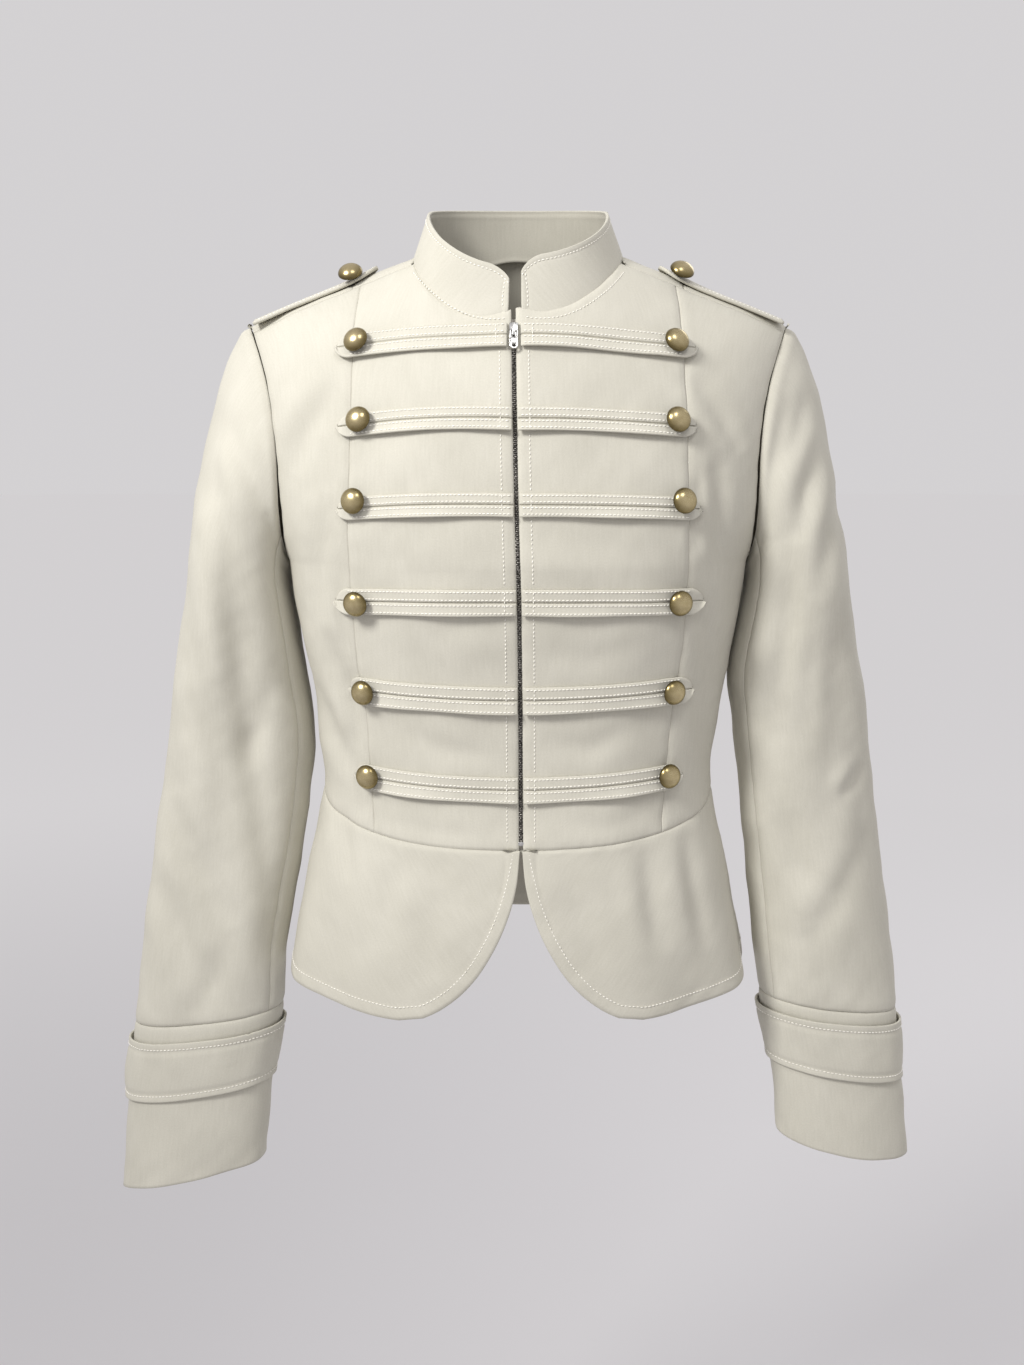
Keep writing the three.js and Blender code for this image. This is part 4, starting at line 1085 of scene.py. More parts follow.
def sleeve_ring(sign, turn, z):
    turn, z = np.broadcast_arrays(np.asarray(turn, float), np.asarray(z, float))
    r = np.radians(turn)
    inner = curve(SLEEVE, z, 1 if sign < 0 else 3)
    outer = curve(SLEEVE, z, 2 if sign < 0 else 4)
    push = 0
    for at, mid, wide, long, deep, lean in BIG_FOLDS[sign]:
        off = np.abs(turn - at - lean * (z - mid))
        push = push + deep * hill(np.minimum(off, np.abs(360 - off)), wide) * hill(z - mid, long)
    dx = ((outer - inner) / 2 + push) * power(np.cos(r), 0.92)
    dy = -(curve(SLEEVE, z, 5) + push) * power(np.sin(r), 0.92)
    return xyz(sign * ((outer + inner) / 2 + dx), dy - curve(SLEEVE, z, 6), z - curve(SLEEVE, z, 7) * dx)


def armhole_loop(sign):
    k = np.linspace(0, 1, 61)
    front = body(sign * armhole_angle(90 * (1 - k) ** 1.4, False), 90 * (1 - k) ** 1.4)
    behind = body(sign * armhole_angle(90 * k**1.4, True), 90 * k**1.4)
    def at(turn):
        turn = np.asarray(turn, float) % 360
        found = np.zeros(turn.shape + (3,))
        for points, first in ((front, 0), (behind, 180)):
            way = np.concatenate([[0], np.cumsum(np.linalg.norm(np.diff(points, axis=0), axis=1))])
            want = np.clip((turn - first) / 180, 0, 1) * way[-1]
            value = np.stack([np.interp(want, way, points[:, c]) for c in range(3)], -1)
            here = (turn <= 180) if first == 0 else (turn > 180)
            found = np.where(here[..., None], value, found)
        return found
    return at


LOOP = {-1: armhole_loop(-1), 1: armhole_loop(1)}


def sleeve_base(sign, turn, c):
    """c from 0 to 1 runs over the cap, and past 1 counts mm below it."""
    turn, c = np.broadcast_arrays(np.asarray(turn, float), np.asarray(c, float))
    r = np.radians(turn)
    start = LOOP[sign](turn)
    end = sleeve_ring(sign, turn, CAP_END)
    below = sleeve_ring(sign, turn, CAP_END - 6) - end
    out = 0.5 + 0.5 * np.cos(r)
    side = np.sin(r) ** 2
    t0 = xyz(sign * (14 + 78 * out + 18 * side), -16 * np.sin(r), -14 - 44 * out - 46 * side)
    t1 = below / np.linalg.norm(below, axis=-1, keepdims=True) * (40 + 150 * out**1.1)[..., None]
    k = np.clip(c, 0, 1)[..., None]
    cap = (2 * k**3 - 3 * k**2 + 1) * start + (k**3 - 2 * k**2 + k) * t0
    cap = cap + (3 * k**2 - 2 * k**3) * end + (k**3 - k**2) * t1
    tube = sleeve_ring(sign, turn, CAP_END - np.maximum(0, c - 1))
    return np.where((c > 1)[..., None], tube, cap)


print("outside of the left sleeve at the elbow:", sleeve_base(-1, 0, 1 + 150).round(1))

# %% The folds of each sleeve
# lines in x and z on the front side, then width and depth
SLEEVE_FRONT = {
    -1: [
        ([(-206, -120), (-190, -150), (-172, -184)], 8, -3.4),
        ([(-222, -150), (-205, -190), (-186, -226)], 9, -2.8),
        ([(-214, -112), (-214, -140), (-206, -168)], 8, -1.8),
        ([(-204, -176), (-199, -260), (-194, -350), (-184, -440), (-180, -522)], 10, -4.2),
        ([(-238, -210), (-232, -290), (-226, -372)], 13, -2.6),
        ([(-256, -392), (-236, -440), (-208, -490)], 11, -3.4),
        ([(-268, -452), (-246, -500), (-222, -540)], 10, -2.8),
        ([(-214, -498), (-224, -530), (-240, -556)], 9, -2.2),
        ([(-176, -300), (-186, -340), (-200, -372)], 8, -2.4),
        ([(-222, -300), (-216, -360), (-212, -420)], 9, -2.0),
    ],
    1: [
        ([(190, -102), (180, -130), (170, -160)], 7, -4.2),
        ([(216, -134), (200, -168), (194, -208)], 8, -4.2),
        ([(206, -100), (197, -124), (186, -150)], 7, -2.6),
        ([(236, -166), (219, -200), (206, -248)], 9, -3.2),
        ([(193, -206), (190, -270), (186, -340)], 9, -3.4),
        ([(208, -244), (207, -300), (206, -356)], 9, -2.2),
        ([(222, -260), (228, -340), (226, -420)], 12, -2.8),
        ([(256, -368), (246, -382), (234, -394)], 6, -2.6),
        ([(254, -430), (232, -470), (208, -506)], 10, -2.8),
        ([(192, -400), (206, -440), (230, -470)], 9, -2.4),
        ([(212, -486), (226, -520), (246, -542)], 9, -2.2),
    ],
}
SLEEVE_BEHIND = {
    sign: [
        ([(sign * 196, -130), (sign * 182, -170), (sign * 172, -214)], 9, -2.6),
        ([(sign * 226, -160), (sign * 206, -206), (sign * 190, -256)], 10, -2.2),
        ([(sign * 250, -330), (sign * 222, -362), (sign * 190, -376)], 9, -2.6),
        ([(sign * 256, -372), (sign * 226, -398), (sign * 194, -404)], 8, -2.2),
        ([(sign * 240, -420), (sign * 232, -480), (sign * 226, -530)], 11, -1.8),
    ]
    for sign in (-1, 1)
}


def sleeve_drape(sign, points, z_middle):
    """Folds of a sleeve at points of its smooth tube."""
    flat = points[..., [0, 2]]
    ahead = smooth((6 - (points[..., 1] + z_middle)) / 20)
    sag = unevenness(points) * 1.15
    for line, width, depth in SLEEVE_FRONT[sign]:
        sag = sag + ahead * crease(flat, line, width, depth)
    for line, width, depth in SLEEVE_BEHIND[sign]:
        sag = sag + (1 - ahead) * crease(flat, line, width, depth)
    return sag


def sleeve_cloth(sign, turn, c, extra=None, round_on=False):
    """Draped points and normals of a patch of a sleeve."""
    base = sleeve_base(sign, turn, c)
    normals = sleeve_normals(sign, base, round_on)
    ahead = curve(SLEEVE, np.clip(base[..., 2], -680, -256), 6)
    calm = smooth(np.broadcast_to(c, base.shape[:2]) / 0.25)
    sag = sleeve_drape(sign, base, ahead) * calm
    if extra is not None:
        sag = sag + extra
    points = base + normals * sag[..., None]
    return points, sleeve_normals(sign, points, round_on)


def sleeve_normals(sign, points, round_on=False):
    """Grid normals, turned away from the sleeve: rows run down it, columns round it."""
    n = normals_of(points, ring=round_on)
    return n * (1 if sign > 0 else -1)


test_turn, test_c = np.meshgrid(np.linspace(0, 20, 5), np.linspace(50, 60, 5))
print("normal of the right sleeve's outside:", sleeve_cloth(1, test_turn, test_c)[1][2, 2].round(2))

# %% The sleeve pieces
SEAM_FRONT, SEAM_BACK = 148, 262
CUFF = {-1: (-560, -572, -614, -676), 1: (-550, -559, -600, -656)}


def sleeve_piece(name, node, sign, start, end, cols):
    rows = np.concatenate([np.linspace(0, 1, 38) ** 1.1, 1 + np.linspace(2, CAP_END - CUFF[sign][0], 116)])
    turn = mix(start, end, spread(cols, 0.25))[None]
    points, normals = sleeve_cloth(sign, turn, rows[:, None])
    if np.sum(normals * (points - sleeve_base(sign, turn + 180, rows[:, None]))) < 0:
        normals = -normals
    points = drawn_in(drawn_in(points, 0.45, "t"), 0.17, "blr")
    puff = 0.9 * hill(edge_distance(points, "t") - 6, 4.5)
    points = points + normals * puff[..., None]
    points = tucked(points, normals, "tblr", depth=0.8)
    made = sewn(name, points, normals, twill, back=inside_twill_painted_shade, node=node)
    declare(made, points)
    return made


for word, sign in (("left", -1), ("right", 1)):
    sleeve_piece(
        f"sleeve_top_cloth_{word}", f"sleeve_top_{word}", sign,
        SEAM_BACK - 360, SEAM_FRONT, 112,
    )
    sleeve_piece(
        f"sleeve_under_cloth_{word}", f"sleeve_under_{word}", sign,
        SEAM_FRONT, SEAM_BACK, 52,
    )

# %% [markdown]
# ## The cuffs
# Below the sleeve seam a plain cuff hangs down over the wrist. A separate band is laid round
# it near its top, stitched close to both edges. The stitching draws the cloth in, so two
# soft ridges form beside the rows, and the band's top edge stands away from the cuff.

# %% The cuffs and their bands
def tube_cloth(sign, zs, lift, cols=150):
    turn = np.linspace(0, 360, cols, endpoint=False)[None]
    zs = np.asarray(zs, float)[:, None]
    points, normals = sleeve_cloth(sign, turn, 1 + CAP_END - zs, round_on=True)
    middle = points.mean(axis=1, keepdims=True)
    if np.sum(normals * (points - middle)) < 0:
        normals = -normals
    return points + normals * np.asarray(lift, float)[..., None], normals


BAND_POINTS = {}
for word, sign in (("left", -1), ("right", 1)):
    seam, band_top, band_end, end = CUFF[sign]
    zs = seam - 0.34 + (end - seam + 0.34) * spread(42, 0.3)
    turn = np.radians(np.linspace(0, 360, 150, endpoint=False))[None]
    fall = (seam - zs)[:, None]
    swing = 0.9 * np.sin(3 * turn + sign) + 0.6 * np.sin(5 * turn + 0.7)
    lift = -0.8 * hill(fall, 2.4) + swing * smooth(fall / (seam - end)) + 0.25 * np.sin(fall / 4 + turn * 9)* hill(fall - (seam - end), 14)
    points, normals = tube_cloth(sign, zs, lift)
    middle = points.mean(axis=1, keepdims=True)
    points[..., 2] += 1.2 * np.sin(2 * turn + 1.2 * sign) * smooth(fall / (seam - end))
    made = sewn(f"cuff_cloth_{word}", points, normals, twill, ring=True, back=inside_twill_painted_shade, node=f"cuff_{word}")
    declare(made, points)
    zs = band_top + (band_end - band_top) * spread(34, 0.4)
    across = ((band_top - zs) / (band_top - band_end))[:, None]
    lift = 2.6 + 0.9 * (1 - across) + 0.55 * np.sin(np.pi * across) - 0.7 * hill(across - 0.14, 0.05) - 0.7 * hill(across - 0.88, 0.05)
    lift = lift + 0.35 * np.sin(7 * turn + 2 * sign) * (across - 0.5) + 0.3 * np.sin(11 * turn) * hill(across - 0.5, 0.3)
    points, normals = tube_cloth(sign, zs, lift)
    BAND_POINTS[sign] = (points, normals)
    made = sewn(f"cuff_band_cloth_{word}", points, normals, twill, thick=1.7, ring=True, back=inside_twill_painted_shade, node=f"cuff_band_{word}")
    declare(made, points)

# %% [markdown]
# ## Straps and shoulder tabs
# Each strap is a tube of cloth pressed flat and folded lengthwise, so it shows as two bands
# with a sharp groove between them. It is sewn down along its upper band only: the lower edge
# stands off and throws a thin shadow. The ends are mitred to a point round the button.
# The surface under it comes from the same function as the fronts, so a strap follows every
# crease below it.

# %% A point on the front's cloth
def on_front(x, z, lift=0.0):
    """Draped front at x, z and its normal, lifted off it by some mm."""
    x, z = np.broadcast_arrays(np.asarray(x, float), np.asarray(z, float))
    def draped(a, b):
        p = body(*front_place(a, b))
        return p
    base = draped(x, z)
    n = np.cross(draped(x + 0.6, z) - draped(x - 0.6, z), draped(x, z + 0.6) - draped(x, z - 0.6))
    n = n / np.linalg.norm(n, axis=-1, keepdims=True)
    return base + n * (drape(base) + lift)[..., None], n


STRAPS = [
    # middle height at the zip and at the end, width, tips left and right, buttons left and right, button height
    (-69, -76, 16, 121, 118, 106, 103, -74), (-123.5, -128, 15, 120, 117, 104, 103, -125),
    (-179, -182, 15, 120, 121, 107, 107, -177), (-243, -244, 17, 124, 125, 107, 106, -244),
    (-310.5, -306, 18, 118, 120, 104, 104, -306.5), (-373.5, -368, 17.5, 114, 114, 102, 102, -367),
]


def strap_middle(row, sign, p):
    """x and z of a strap's middle line, p from the zip to the tip."""
    at_zip, at_end, tall, tip_l, tip_r = STRAPS[row][:5]
    tip = tip_l if sign < 0 else tip_r
    start = sign * (4.4 if row == 0 else 2.0) + float(curve(ZIP_LINE, at_zip))
    bow = (1.1, 1.9, 1.2, 0.4, -0.3, -0.5)[row] * (1 if sign < 0 else 0.5)
    return mix(start, sign * tip, p), mix(at_zip, at_end, p**1.3) + bow * np.sin(np.pi * np.clip(p, 0, 1))


STRAP_LIFT = 2.05


def strap_point(row, sign, p, q):
    """p along the strap, q from its lower edge at 1 to its upper edge at -1."""
    p, q = np.broadcast_arrays(np.asarray(p, float), np.asarray(q, float))
    x, z = strap_middle(row, sign, p)
    tall = STRAPS[row][2]
    length = abs(STRAPS[row][3 if sign < 0 else 4])
    left = (1 - p) * length
    point = np.sqrt(np.clip(1 - (1 - np.clip(left / 9.0, 0, 1)) ** 1.7, 0.0, 1))
    z = z - q * tall * (0.10 + 0.90 * point) / 2
    lift = STRAP_LIFT + 0.5 * (q + 1) + (q > 0) * (0.9 + 0.8 * np.sin(p * 9 + row * 1.7)) * q**2
    lift = lift - 1.6 * hill(q * tall / 2, 0.45) - 0.4 * hill((1 + q) * tall / 2, 0.9)
    lift = lift - 0.7 * hill(p * length, 1.6)
    return x, z, lift


for row in range(6):
    for word, sign in (("left", -1), ("right", 1)):
        p = np.concatenate([[0, 0.006], np.linspace(0.012, 0.9, 52, endpoint=False), np.linspace(0.9, 1, 16)])[None]
        q = np.concatenate([np.linspace(-1, -0.14, 12), [-0.09, -0.05, -0.02, 0.02, 0.05, 0.09], np.linspace(0.14, 1, 12)])[:, None]
        x, z, lift = strap_point(row, sign, p, q)
        points, _ = on_front(x, z, lift)
        normals = outward(normals_of(points), points, (0, 0, -250))
        made = sewn(
            f"strap_cloth_{word}_{row + 1}", points, normals, twill,
            thick=1.5, node=f"strap_{word}_{row + 1}",
        )
        declare(made, points)

# %% [markdown]
# ### The shoulder tabs
# A shoulder tab is a tongue of doubled cloth that lies over the top of the shoulder. Its
# outer end is caught in the armhole seam, its inner end is round and buttoned down. It only
# touches the shoulder along its middle, so a dark gap shows under its front edge.

# %% The tabs
def tab_point(sign, p, q):
    p, q = np.broadcast_arrays(np.asarray(p, float), np.asarray(q, float))
    x = mix(100, 187, p)
    rounding = np.sqrt(np.maximum(0.02, 1 - (1 - np.minimum(1, p / 0.16)) ** 2))
    y = -3 * (1 - 0.4 * p) + q * 19 * rounding * (1 - 0.28 * p)
    reach = np.where(y < 0, 106, 90) * (1 - (x / SHOULDER) ** (2 / SQUARE)) ** (SQUARE / 2)
    bend = np.where(y > 0, 0.8, 1.0)
    under = np.maximum(0, 1 - np.abs(y / reach) ** (2 / bend)) ** (bend / 2)
    drop = (ridge(x) - UNDERARM) * (1 - under)
    own = y**2 / (2 * mix(44, 30, p))
    return xyz(sign * x, y, ridge(x) - np.minimum(drop, own) + 3.0 + 1.4 * hill(p, 0.22))


TABS = {}
for word, sign in (("left", -1), ("right", 1)):
    p = np.concatenate([np.linspace(0, 0.16, 16, endpoint=False), np.linspace(0.16, 1, 44)])[None]
    q = spread(30, 0.5)[:, None] * 2 - 1
    points = tab_point(sign, p, q)
    normals = outward(normals_of(points), points, (sign * 140, 0, -300))
    near = edge_distance(points, "tbl")
    wave = 0.3 * smooth((4 - near) / 2) - 0.35 * hill(near - 4.0, 0.9) + 0.5 * unevenness(points)
    points = points + normals * wave[..., None]
    normals = outward(normals_of(points), points, (sign * 140, 0, -300))
    TABS[sign] = (points, normals)
    made = sewn(f"tab_cloth_{word}", points, normals, twill, thick=2.2, node=f"epaulette_{word}")
    declare(made, points)

# %% [markdown]
# ## The buttons
# The buttons are pressed shells: a domed cap rolled over a flat back, with a wire shank that
# passes through the strap. One is drawn as half a profile and spun round its axis,
# which closes its poles. It is then copied to its fourteen places, each copy with its own
# mesh and its own small tilt, as sewn-on buttons always have.

# %% One button
def only(made):
    """Deselects everything and makes one object the active one."""
    if bpy.context.mode != "OBJECT":
        bpy.ops.object.mode_set(mode="OBJECT")
    bpy.ops.object.select_all(action="DESELECT")
    made.select_set(True)
    bpy.context.view_layer.objects.active = made


bpy.ops.object.select_all(action="DESELECT")
bpy.ops.mesh.primitive_plane_add(size=0.002, location=(0, 0, 0))
master = bpy.context.object
master.name = "button_master"
bpy.ops.object.mode_set(mode="EDIT")
bpy.ops.mesh.delete(type="VERT")
bpy.ops.object.mode_set(mode="OBJECT")
PROFILE = [
    (0.0, 0.0), (1.6, 0.0), (2.3, 0.12), (2.6, 0.5), (2.6, 2.6), (2.9, 3.0), (4.2, 3.12), (7.2, 3.14),
    (7.9, 3.22), (8.35, 3.5), (8.62, 3.95), (8.68, 4.4), (8.6, 4.9), (8.42, 5.45), (8.1, 6.1), (7.6, 6.78),
    (6.9, 7.5), (6.0, 8.2), (4.9, 8.86), (3.6, 9.36), (2.2, 9.68), (1.0, 9.82), (0.0, 9.86),
]
master.data.from_pydata(
    [(r * MM, 0, h * MM) for r, h in PROFILE], [(i, i + 1) for i in range(len(PROFILE) - 1)], []
)
only(master)
bpy.ops.object.mode_set(mode="EDIT")
bpy.ops.mesh.select_all(action="SELECT")
bpy.ops.mesh.spin(steps=56, angle=2 * math.pi, center=(0, 0, 0), axis=(0, 0, 1))
bpy.ops.mesh.select_all(action="SELECT")
bpy.ops.mesh.remove_doubles(threshold=0.000004)
bpy.ops.mesh.normals_make_consistent(inside=False)
bpy.ops.object.mode_set(mode="OBJECT")
bpy.ops.object.shade_smooth_by_angle(angle=math.radians(50))
# The painted light on the buttons: 0 at the rim for painted shade, 1 at the top for a painted highlight.
crown = master.data.attributes.new("crown", "FLOAT", "POINT")
heights = np.array([v.co.z / MM for v in master.data.vertices])
painted_light_share = np.clip((heights - 3.6) / 6.2, 0, 1)
crown.data.foreach_set("value", painted_light_share.astype(np.float32))
master.data.materials.clear()
master.data.materials.append(brass)
print("button: faces", len(master.data.polygons), " height mm", round(float(heights.max()), 2))

# %% Sewing on the buttons
TILTS = [
    ((-0.1, 0.06), (0.1, 0.05)), ((-0.05, 0.1), (0.08, 0.06)), ((-0.08, 0.03), (0.06, 0.08)),
    ((0.06, -0.08), (-0.05, 0.06)), ((-0.04, 0.02), (0.08, 0.04)), ((0.04, -0.05), (0.03, 0.05)),
]


def place_copy(source, name, place, axis, node, ride="jacket", turn=0.0):
    """A copy of a master with its own mesh, its +Z turned to an axis and set at a place."""
    made = bpy.data.objects.new(name, source.data.copy())
    bpy.context.scene.collection.objects.link(made)
    spin = Vector((0, 0, 1)).rotation_difference(Vector(axis).normalized()).to_matrix().to_4x4()
    made.data.transform(Matrix.Translation(Vector(place) * MM) @ spin @ Matrix.Rotation(turn, 4, "Z"))
    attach(made, ride)
    if node:
        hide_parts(node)
    return made


for row in range(6):
    at_zip, at_end, tall = STRAPS[row][:3]
    for word, sign in (("left", -1), ("right", 1)):
        x = sign * STRAPS[row][5 if sign < 0 else 6]
        z = STRAPS[row][7]
        low = np.clip((mix(at_zip, at_end, 0.88) - z) / (tall / 2), -1, 1)
        p, n = on_front(x, z, 2.4 + 0.5 * (low + 1))
        tilt = TILTS[row][0 if sign < 0 else 1]
        place_copy(master, f"button_cap_{word}_{row + 1}", p, n + (tilt[0], 0, tilt[1]), f"button_{word}_{row + 1}")
for word, sign in (("left", -1), ("right", 1)):
    at = tab_point(sign, 0.19 if sign < 0 else 0.15, -0.72) + (0, -1.2, 0.5)
    lean = (-0.12, -0.62, 0.76) if sign < 0 else (0.25, -0.6, 0.76)
    place_copy(master, f"tab_button_cap_{word}", at, lean, f"epaulette_button_{word}")
bpy.data.objects.remove(master)
print("buttons sewn on: 14")

# %% [markdown]
# ## The zip
# A metal zip is two woven tapes with teeth clamped on their edges. Its teeth interlock, so
# left and right ones alternate. The fronts' edges meet over the tapes and leave a gap in
# which the teeth show. One tooth is modelled and repeated down the line in a single mesh.

# %% The tapes
def line_frame(z, x_off, lift):
    """Point and normal beside the zip line at a height."""
    x = curve(ZIP_LINE, z) + x_off
    base = body(*front_place(x, z))
    step = body(*front_place(x, z + 0.6)) - body(*front_place(x, z - 0.6))
    side = body(*front_place(x + 0.6, z)) - body(*front_place(x - 0.6, z))
    n = np.cross(side, step)
    n = n / np.linalg.norm(n, axis=-1, keepdims=True)
    sag = drape(base)
    return base + n * (sag + lift)[..., None] if np.ndim(sag) else base + n * (sag + lift), n


for word, sign in (("left", -1), ("right", 1)):
    z = np.linspace(-57, -411, 150)[:, None]
    off = np.linspace(0.45, 12, 12)[None]
    points, _ = line_frame(*np.broadcast_arrays(z, sign * off), -2.75)
    normals = outward(normals_of(points), points, (0, 0, -250))
    cord = 0.35 * hill(measured(points, 1) - 0.7, 0.8)
    points = points + normals * cord[..., None]
    made = sewn(f"zip_tape_cloth_{word}", points, normals, tape, thick=1.0, node=f"zip_tape_{word}")
    declare(made, points)

# %% One tooth, and the row of them
bpy.ops.object.select_all(action="DESELECT")
bpy.ops.mesh.primitive_cube_add(size=1, location=(0, 0, 0))
tooth = bpy.context.object
tooth.scale = (2.3 * MM, 0.85 * MM, 1.3 * MM)
bpy.ops.object.transform_apply(location=False, rotation=False, scale=True)
only(tooth)
bpy.ops.object.mode_set(mode="EDIT")
bpy.ops.mesh.select_all(action="SELECT")
bpy.ops.mesh.bevel(offset=0.22 * MM, segments=2)
bpy.ops.object.mode_set(mode="OBJECT")
bpy.ops.object.mode_set(mode="EDIT")
bpy.ops.mesh.select_mode(type="FACE")
bpy.ops.mesh.select_all(action="DESELECT")
bpy.ops.object.mode_set(mode="OBJECT")
for face in tooth.data.polygons:
    face.select = face.normal.z > 0.99
bpy.ops.object.mode_set(mode="EDIT")
bpy.ops.mesh.inset(thickness=0.12 * MM)
bpy.ops.transform.translate(value=(0, 0, 0.16 * MM))
bpy.ops.object.mode_set(mode="OBJECT")
one = np.array([v.co[:] for v in tooth.data.vertices]) / MM
one_faces = [tuple(p.vertices) for p in tooth.data.polygons]
bpy.data.objects.remove(tooth)
print("tooth: faces", len(one_faces), " size mm", np.ptp(one, axis=0).round(2))

# %% Clamping the teeth down the line
def many(name, places, frames, shape, faces, material, ride="jacket"):
    """One mesh with a copy of a small shape at each place; frames turn the shape."""
    count, size = len(places), len(shape)
    cloud = np.einsum("nij,kj->nki", frames, shape) + places[:, None]
    offset = np.repeat(np.arange(count) * size, len(faces))
    every = [tuple(int(v) + int(o) for v in f) for f, o in zip(list(faces) * count, offset)]
    mesh = bpy.data.meshes.new(name)
    mesh.from_pydata((cloud.reshape(-1, 3) * MM).tolist(), [], every)
    mesh.polygons.foreach_set("use_smooth", np.ones(len(every), bool))
    mesh.materials.append(material)
    mesh.update()
    made = bpy.data.objects.new(name, mesh)
    bpy.context.scene.collection.objects.link(made)
    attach(made, ride)
    print(f"{name}: {count} pieces, {len(every)} faces")
    return made


z = np.arange(-74.5, -409.5, -1.28)
side = np.where(np.arange(len(z)) % 2 == 0, -1.0, 1.0)
places, n = line_frame(z, side * 0.42, -1.75)
up = np.stack([curve(ZIP_LINE, z + 1) - curve(ZIP_LINE, z - 1), 0 * z, 2 + 0 * z], -1)
up = up - np.sum(up * n, -1, keepdims=True) * n
up = up / np.linalg.norm(up, axis=-1, keepdims=True)
right = np.cross(up, n)
teeth = many("zip_teeth", places, np.stack([right, up, n], -1), one, one_faces, tooth_metal)
z_stop = np.array([-410.6])
places, n = line_frame(z_stop, np.array([0.0]), -1.4)
stop_frame = np.stack([np.cross((0, 0, 1), n[0]), (0, 0, 1), n[0]], -1)[None]
stop = many("zip_bottom_stop", places, stop_frame, one * (1.7, 3.4, 1.1), one_faces, nickel)

# %% [markdown]
# ### The slider and its pull
# The slider is a small cast body with a bridge. The pull's cross bar hangs in the bridge, and
# it is the one thing on the jacket that turns. Both are made at the origin, lying in their
# own plane with the zip running along Y, and are then set on the front's slope. The pull is a
# plate drawn with an outline, given a hole by a bored ring, and rounded by bevels.

# %% Hard shapes for the slider
def block(name, size, place, bevel, segments=3):
    """A bevelled box, in mm, modelled where it goes."""
    if bpy.context.mode != "OBJECT":
        bpy.ops.object.mode_set(mode="OBJECT")
    bpy.ops.object.select_all(action="DESELECT")
    bpy.ops.mesh.primitive_cube_add(size=1, location=tuple(c * MM for c in place))
    made = bpy.context.object
    made.name = name
    made.scale = tuple(c * MM for c in size)
    bpy.ops.object.transform_apply(location=True, rotation=True, scale=True)
    bpy.ops.object.mode_set(mode="EDIT")
    bpy.ops.mesh.select_all(action="SELECT")
    bpy.ops.mesh.bevel(offset=bevel * MM, segments=segments)
    bpy.ops.object.mode_set(mode="OBJECT")
    return made


def joined(name, pieces, material):
    """Joins shapes into one object with one finish."""
    bpy.ops.object.select_all(action="DESELECT")
    for piece in pieces:
        piece.select_set(True)
    bpy.context.view_layer.objects.active = pieces[0]
    bpy.ops.object.join()
    made = bpy.context.object
    made.name = name
    made.data.materials.clear()
    made.data.materials.append(material)
    bpy.ops.object.shade_smooth_by_angle(angle=math.radians(40))
    return made


plate = block("plate", (7.0, 11.6, 1.9), (0, 0.4, 1.45), 0.7, 4)
for corner in plate.data.vertices:
    y = corner.co.y / MM
    corner.co.x *= 1.0 - 0.24 * smooth((2.5 - y) / 8) - 0.25 * smooth((y - 4.5) / 2)
posts = [block("post", (2.0, 1.5, 3.4), (0, y, 3.7), 0.3) for y in (3.5, -3.5)]
bridge = block("bridge", (2.1, 8.7, 1.0), (0, 0, 5.5), 0.4, 4)
for corner in bridge.data.vertices:
    corner.co.z += 0.0003 * (1 - (corner.co.y / (4.3 * MM)) ** 2)
slider = joined("slider_body", [plate, *posts, bridge], nickel)
print("slider faces:", len(slider.data.polygons))

# %% The pull
bpy.ops.object.select_all(action="DESELECT")
bpy.ops.mesh.primitive_cylinder_add(
    vertices=20, radius=0.55 * MM, depth=5.6 * MM, location=(0, 0, 3.75 * MM), rotation=(0, math.pi / 2, 0)
)
bar = bpy.context.object
bpy.ops.object.transform_apply(location=True, rotation=True, scale=True)
bpy.ops.object.mode_set(mode="EDIT")
bpy.ops.mesh.select_all(action="SELECT")
bpy.ops.mesh.bevel(offset=0.12 * MM, segments=2)
bpy.ops.object.mode_set(mode="OBJECT")
arms = [block("arm", (1.1, 5.8, 1.0), (x, -2.8, 3.75), 0.3) for x in (-2.25, 2.25)]
outline, hole = [], []
for step in range(32):
    c, s = math.cos(step * math.pi / 16), math.sin(step * math.pi / 16)
    if s > 0:
        outline.append((2.8 * math.copysign(abs(c) ** 0.3, c), -10.6 + 5.7 * s**0.3, 3.25))
    else:
        outline.append((2.8 * c, -10.6 + 2.55 * s, 3.25))
    hole.append((1.25 * c, -10.9 + 1.15 * s, 3.25))
tongue_mesh = bpy.data.meshes.new("tongue")
ring_edges = [(i, (i + 1) % 32) for i in range(32)] + [(32 + i, 32 + (i + 1) % 32) for i in range(32)]
tongue_mesh.from_pydata([tuple(c * MM for c in p) for p in outline + hole], ring_edges, [])
tongue = bpy.data.objects.new("tongue", tongue_mesh)
bpy.context.scene.collection.objects.link(tongue)
only(tongue)
bpy.ops.object.mode_set(mode="EDIT")
bpy.ops.mesh.select_all(action="SELECT")
bpy.ops.mesh.bridge_edge_loops()
bpy.ops.mesh.select_all(action="SELECT")
bpy.ops.mesh.extrude_region_move(TRANSFORM_OT_translate={"value": (0, 0, 1.0 * MM)})
bpy.ops.mesh.select_all(action="SELECT")
bpy.ops.mesh.normals_make_consistent(inside=False)
bpy.ops.mesh.select_all(action="DESELECT")
bpy.ops.mesh.edges_select_sharp(sharpness=math.radians(60))
bpy.ops.mesh.bevel(offset=0.14 * MM, segments=2)
bpy.ops.object.mode_set(mode="OBJECT")
print("tongue of the pull: faces", len(tongue.data.polygons))
pull = joined("zip_pull_tab", [bar, *arms, tongue], nickel)
print("pull faces:", len(pull.data.polygons))

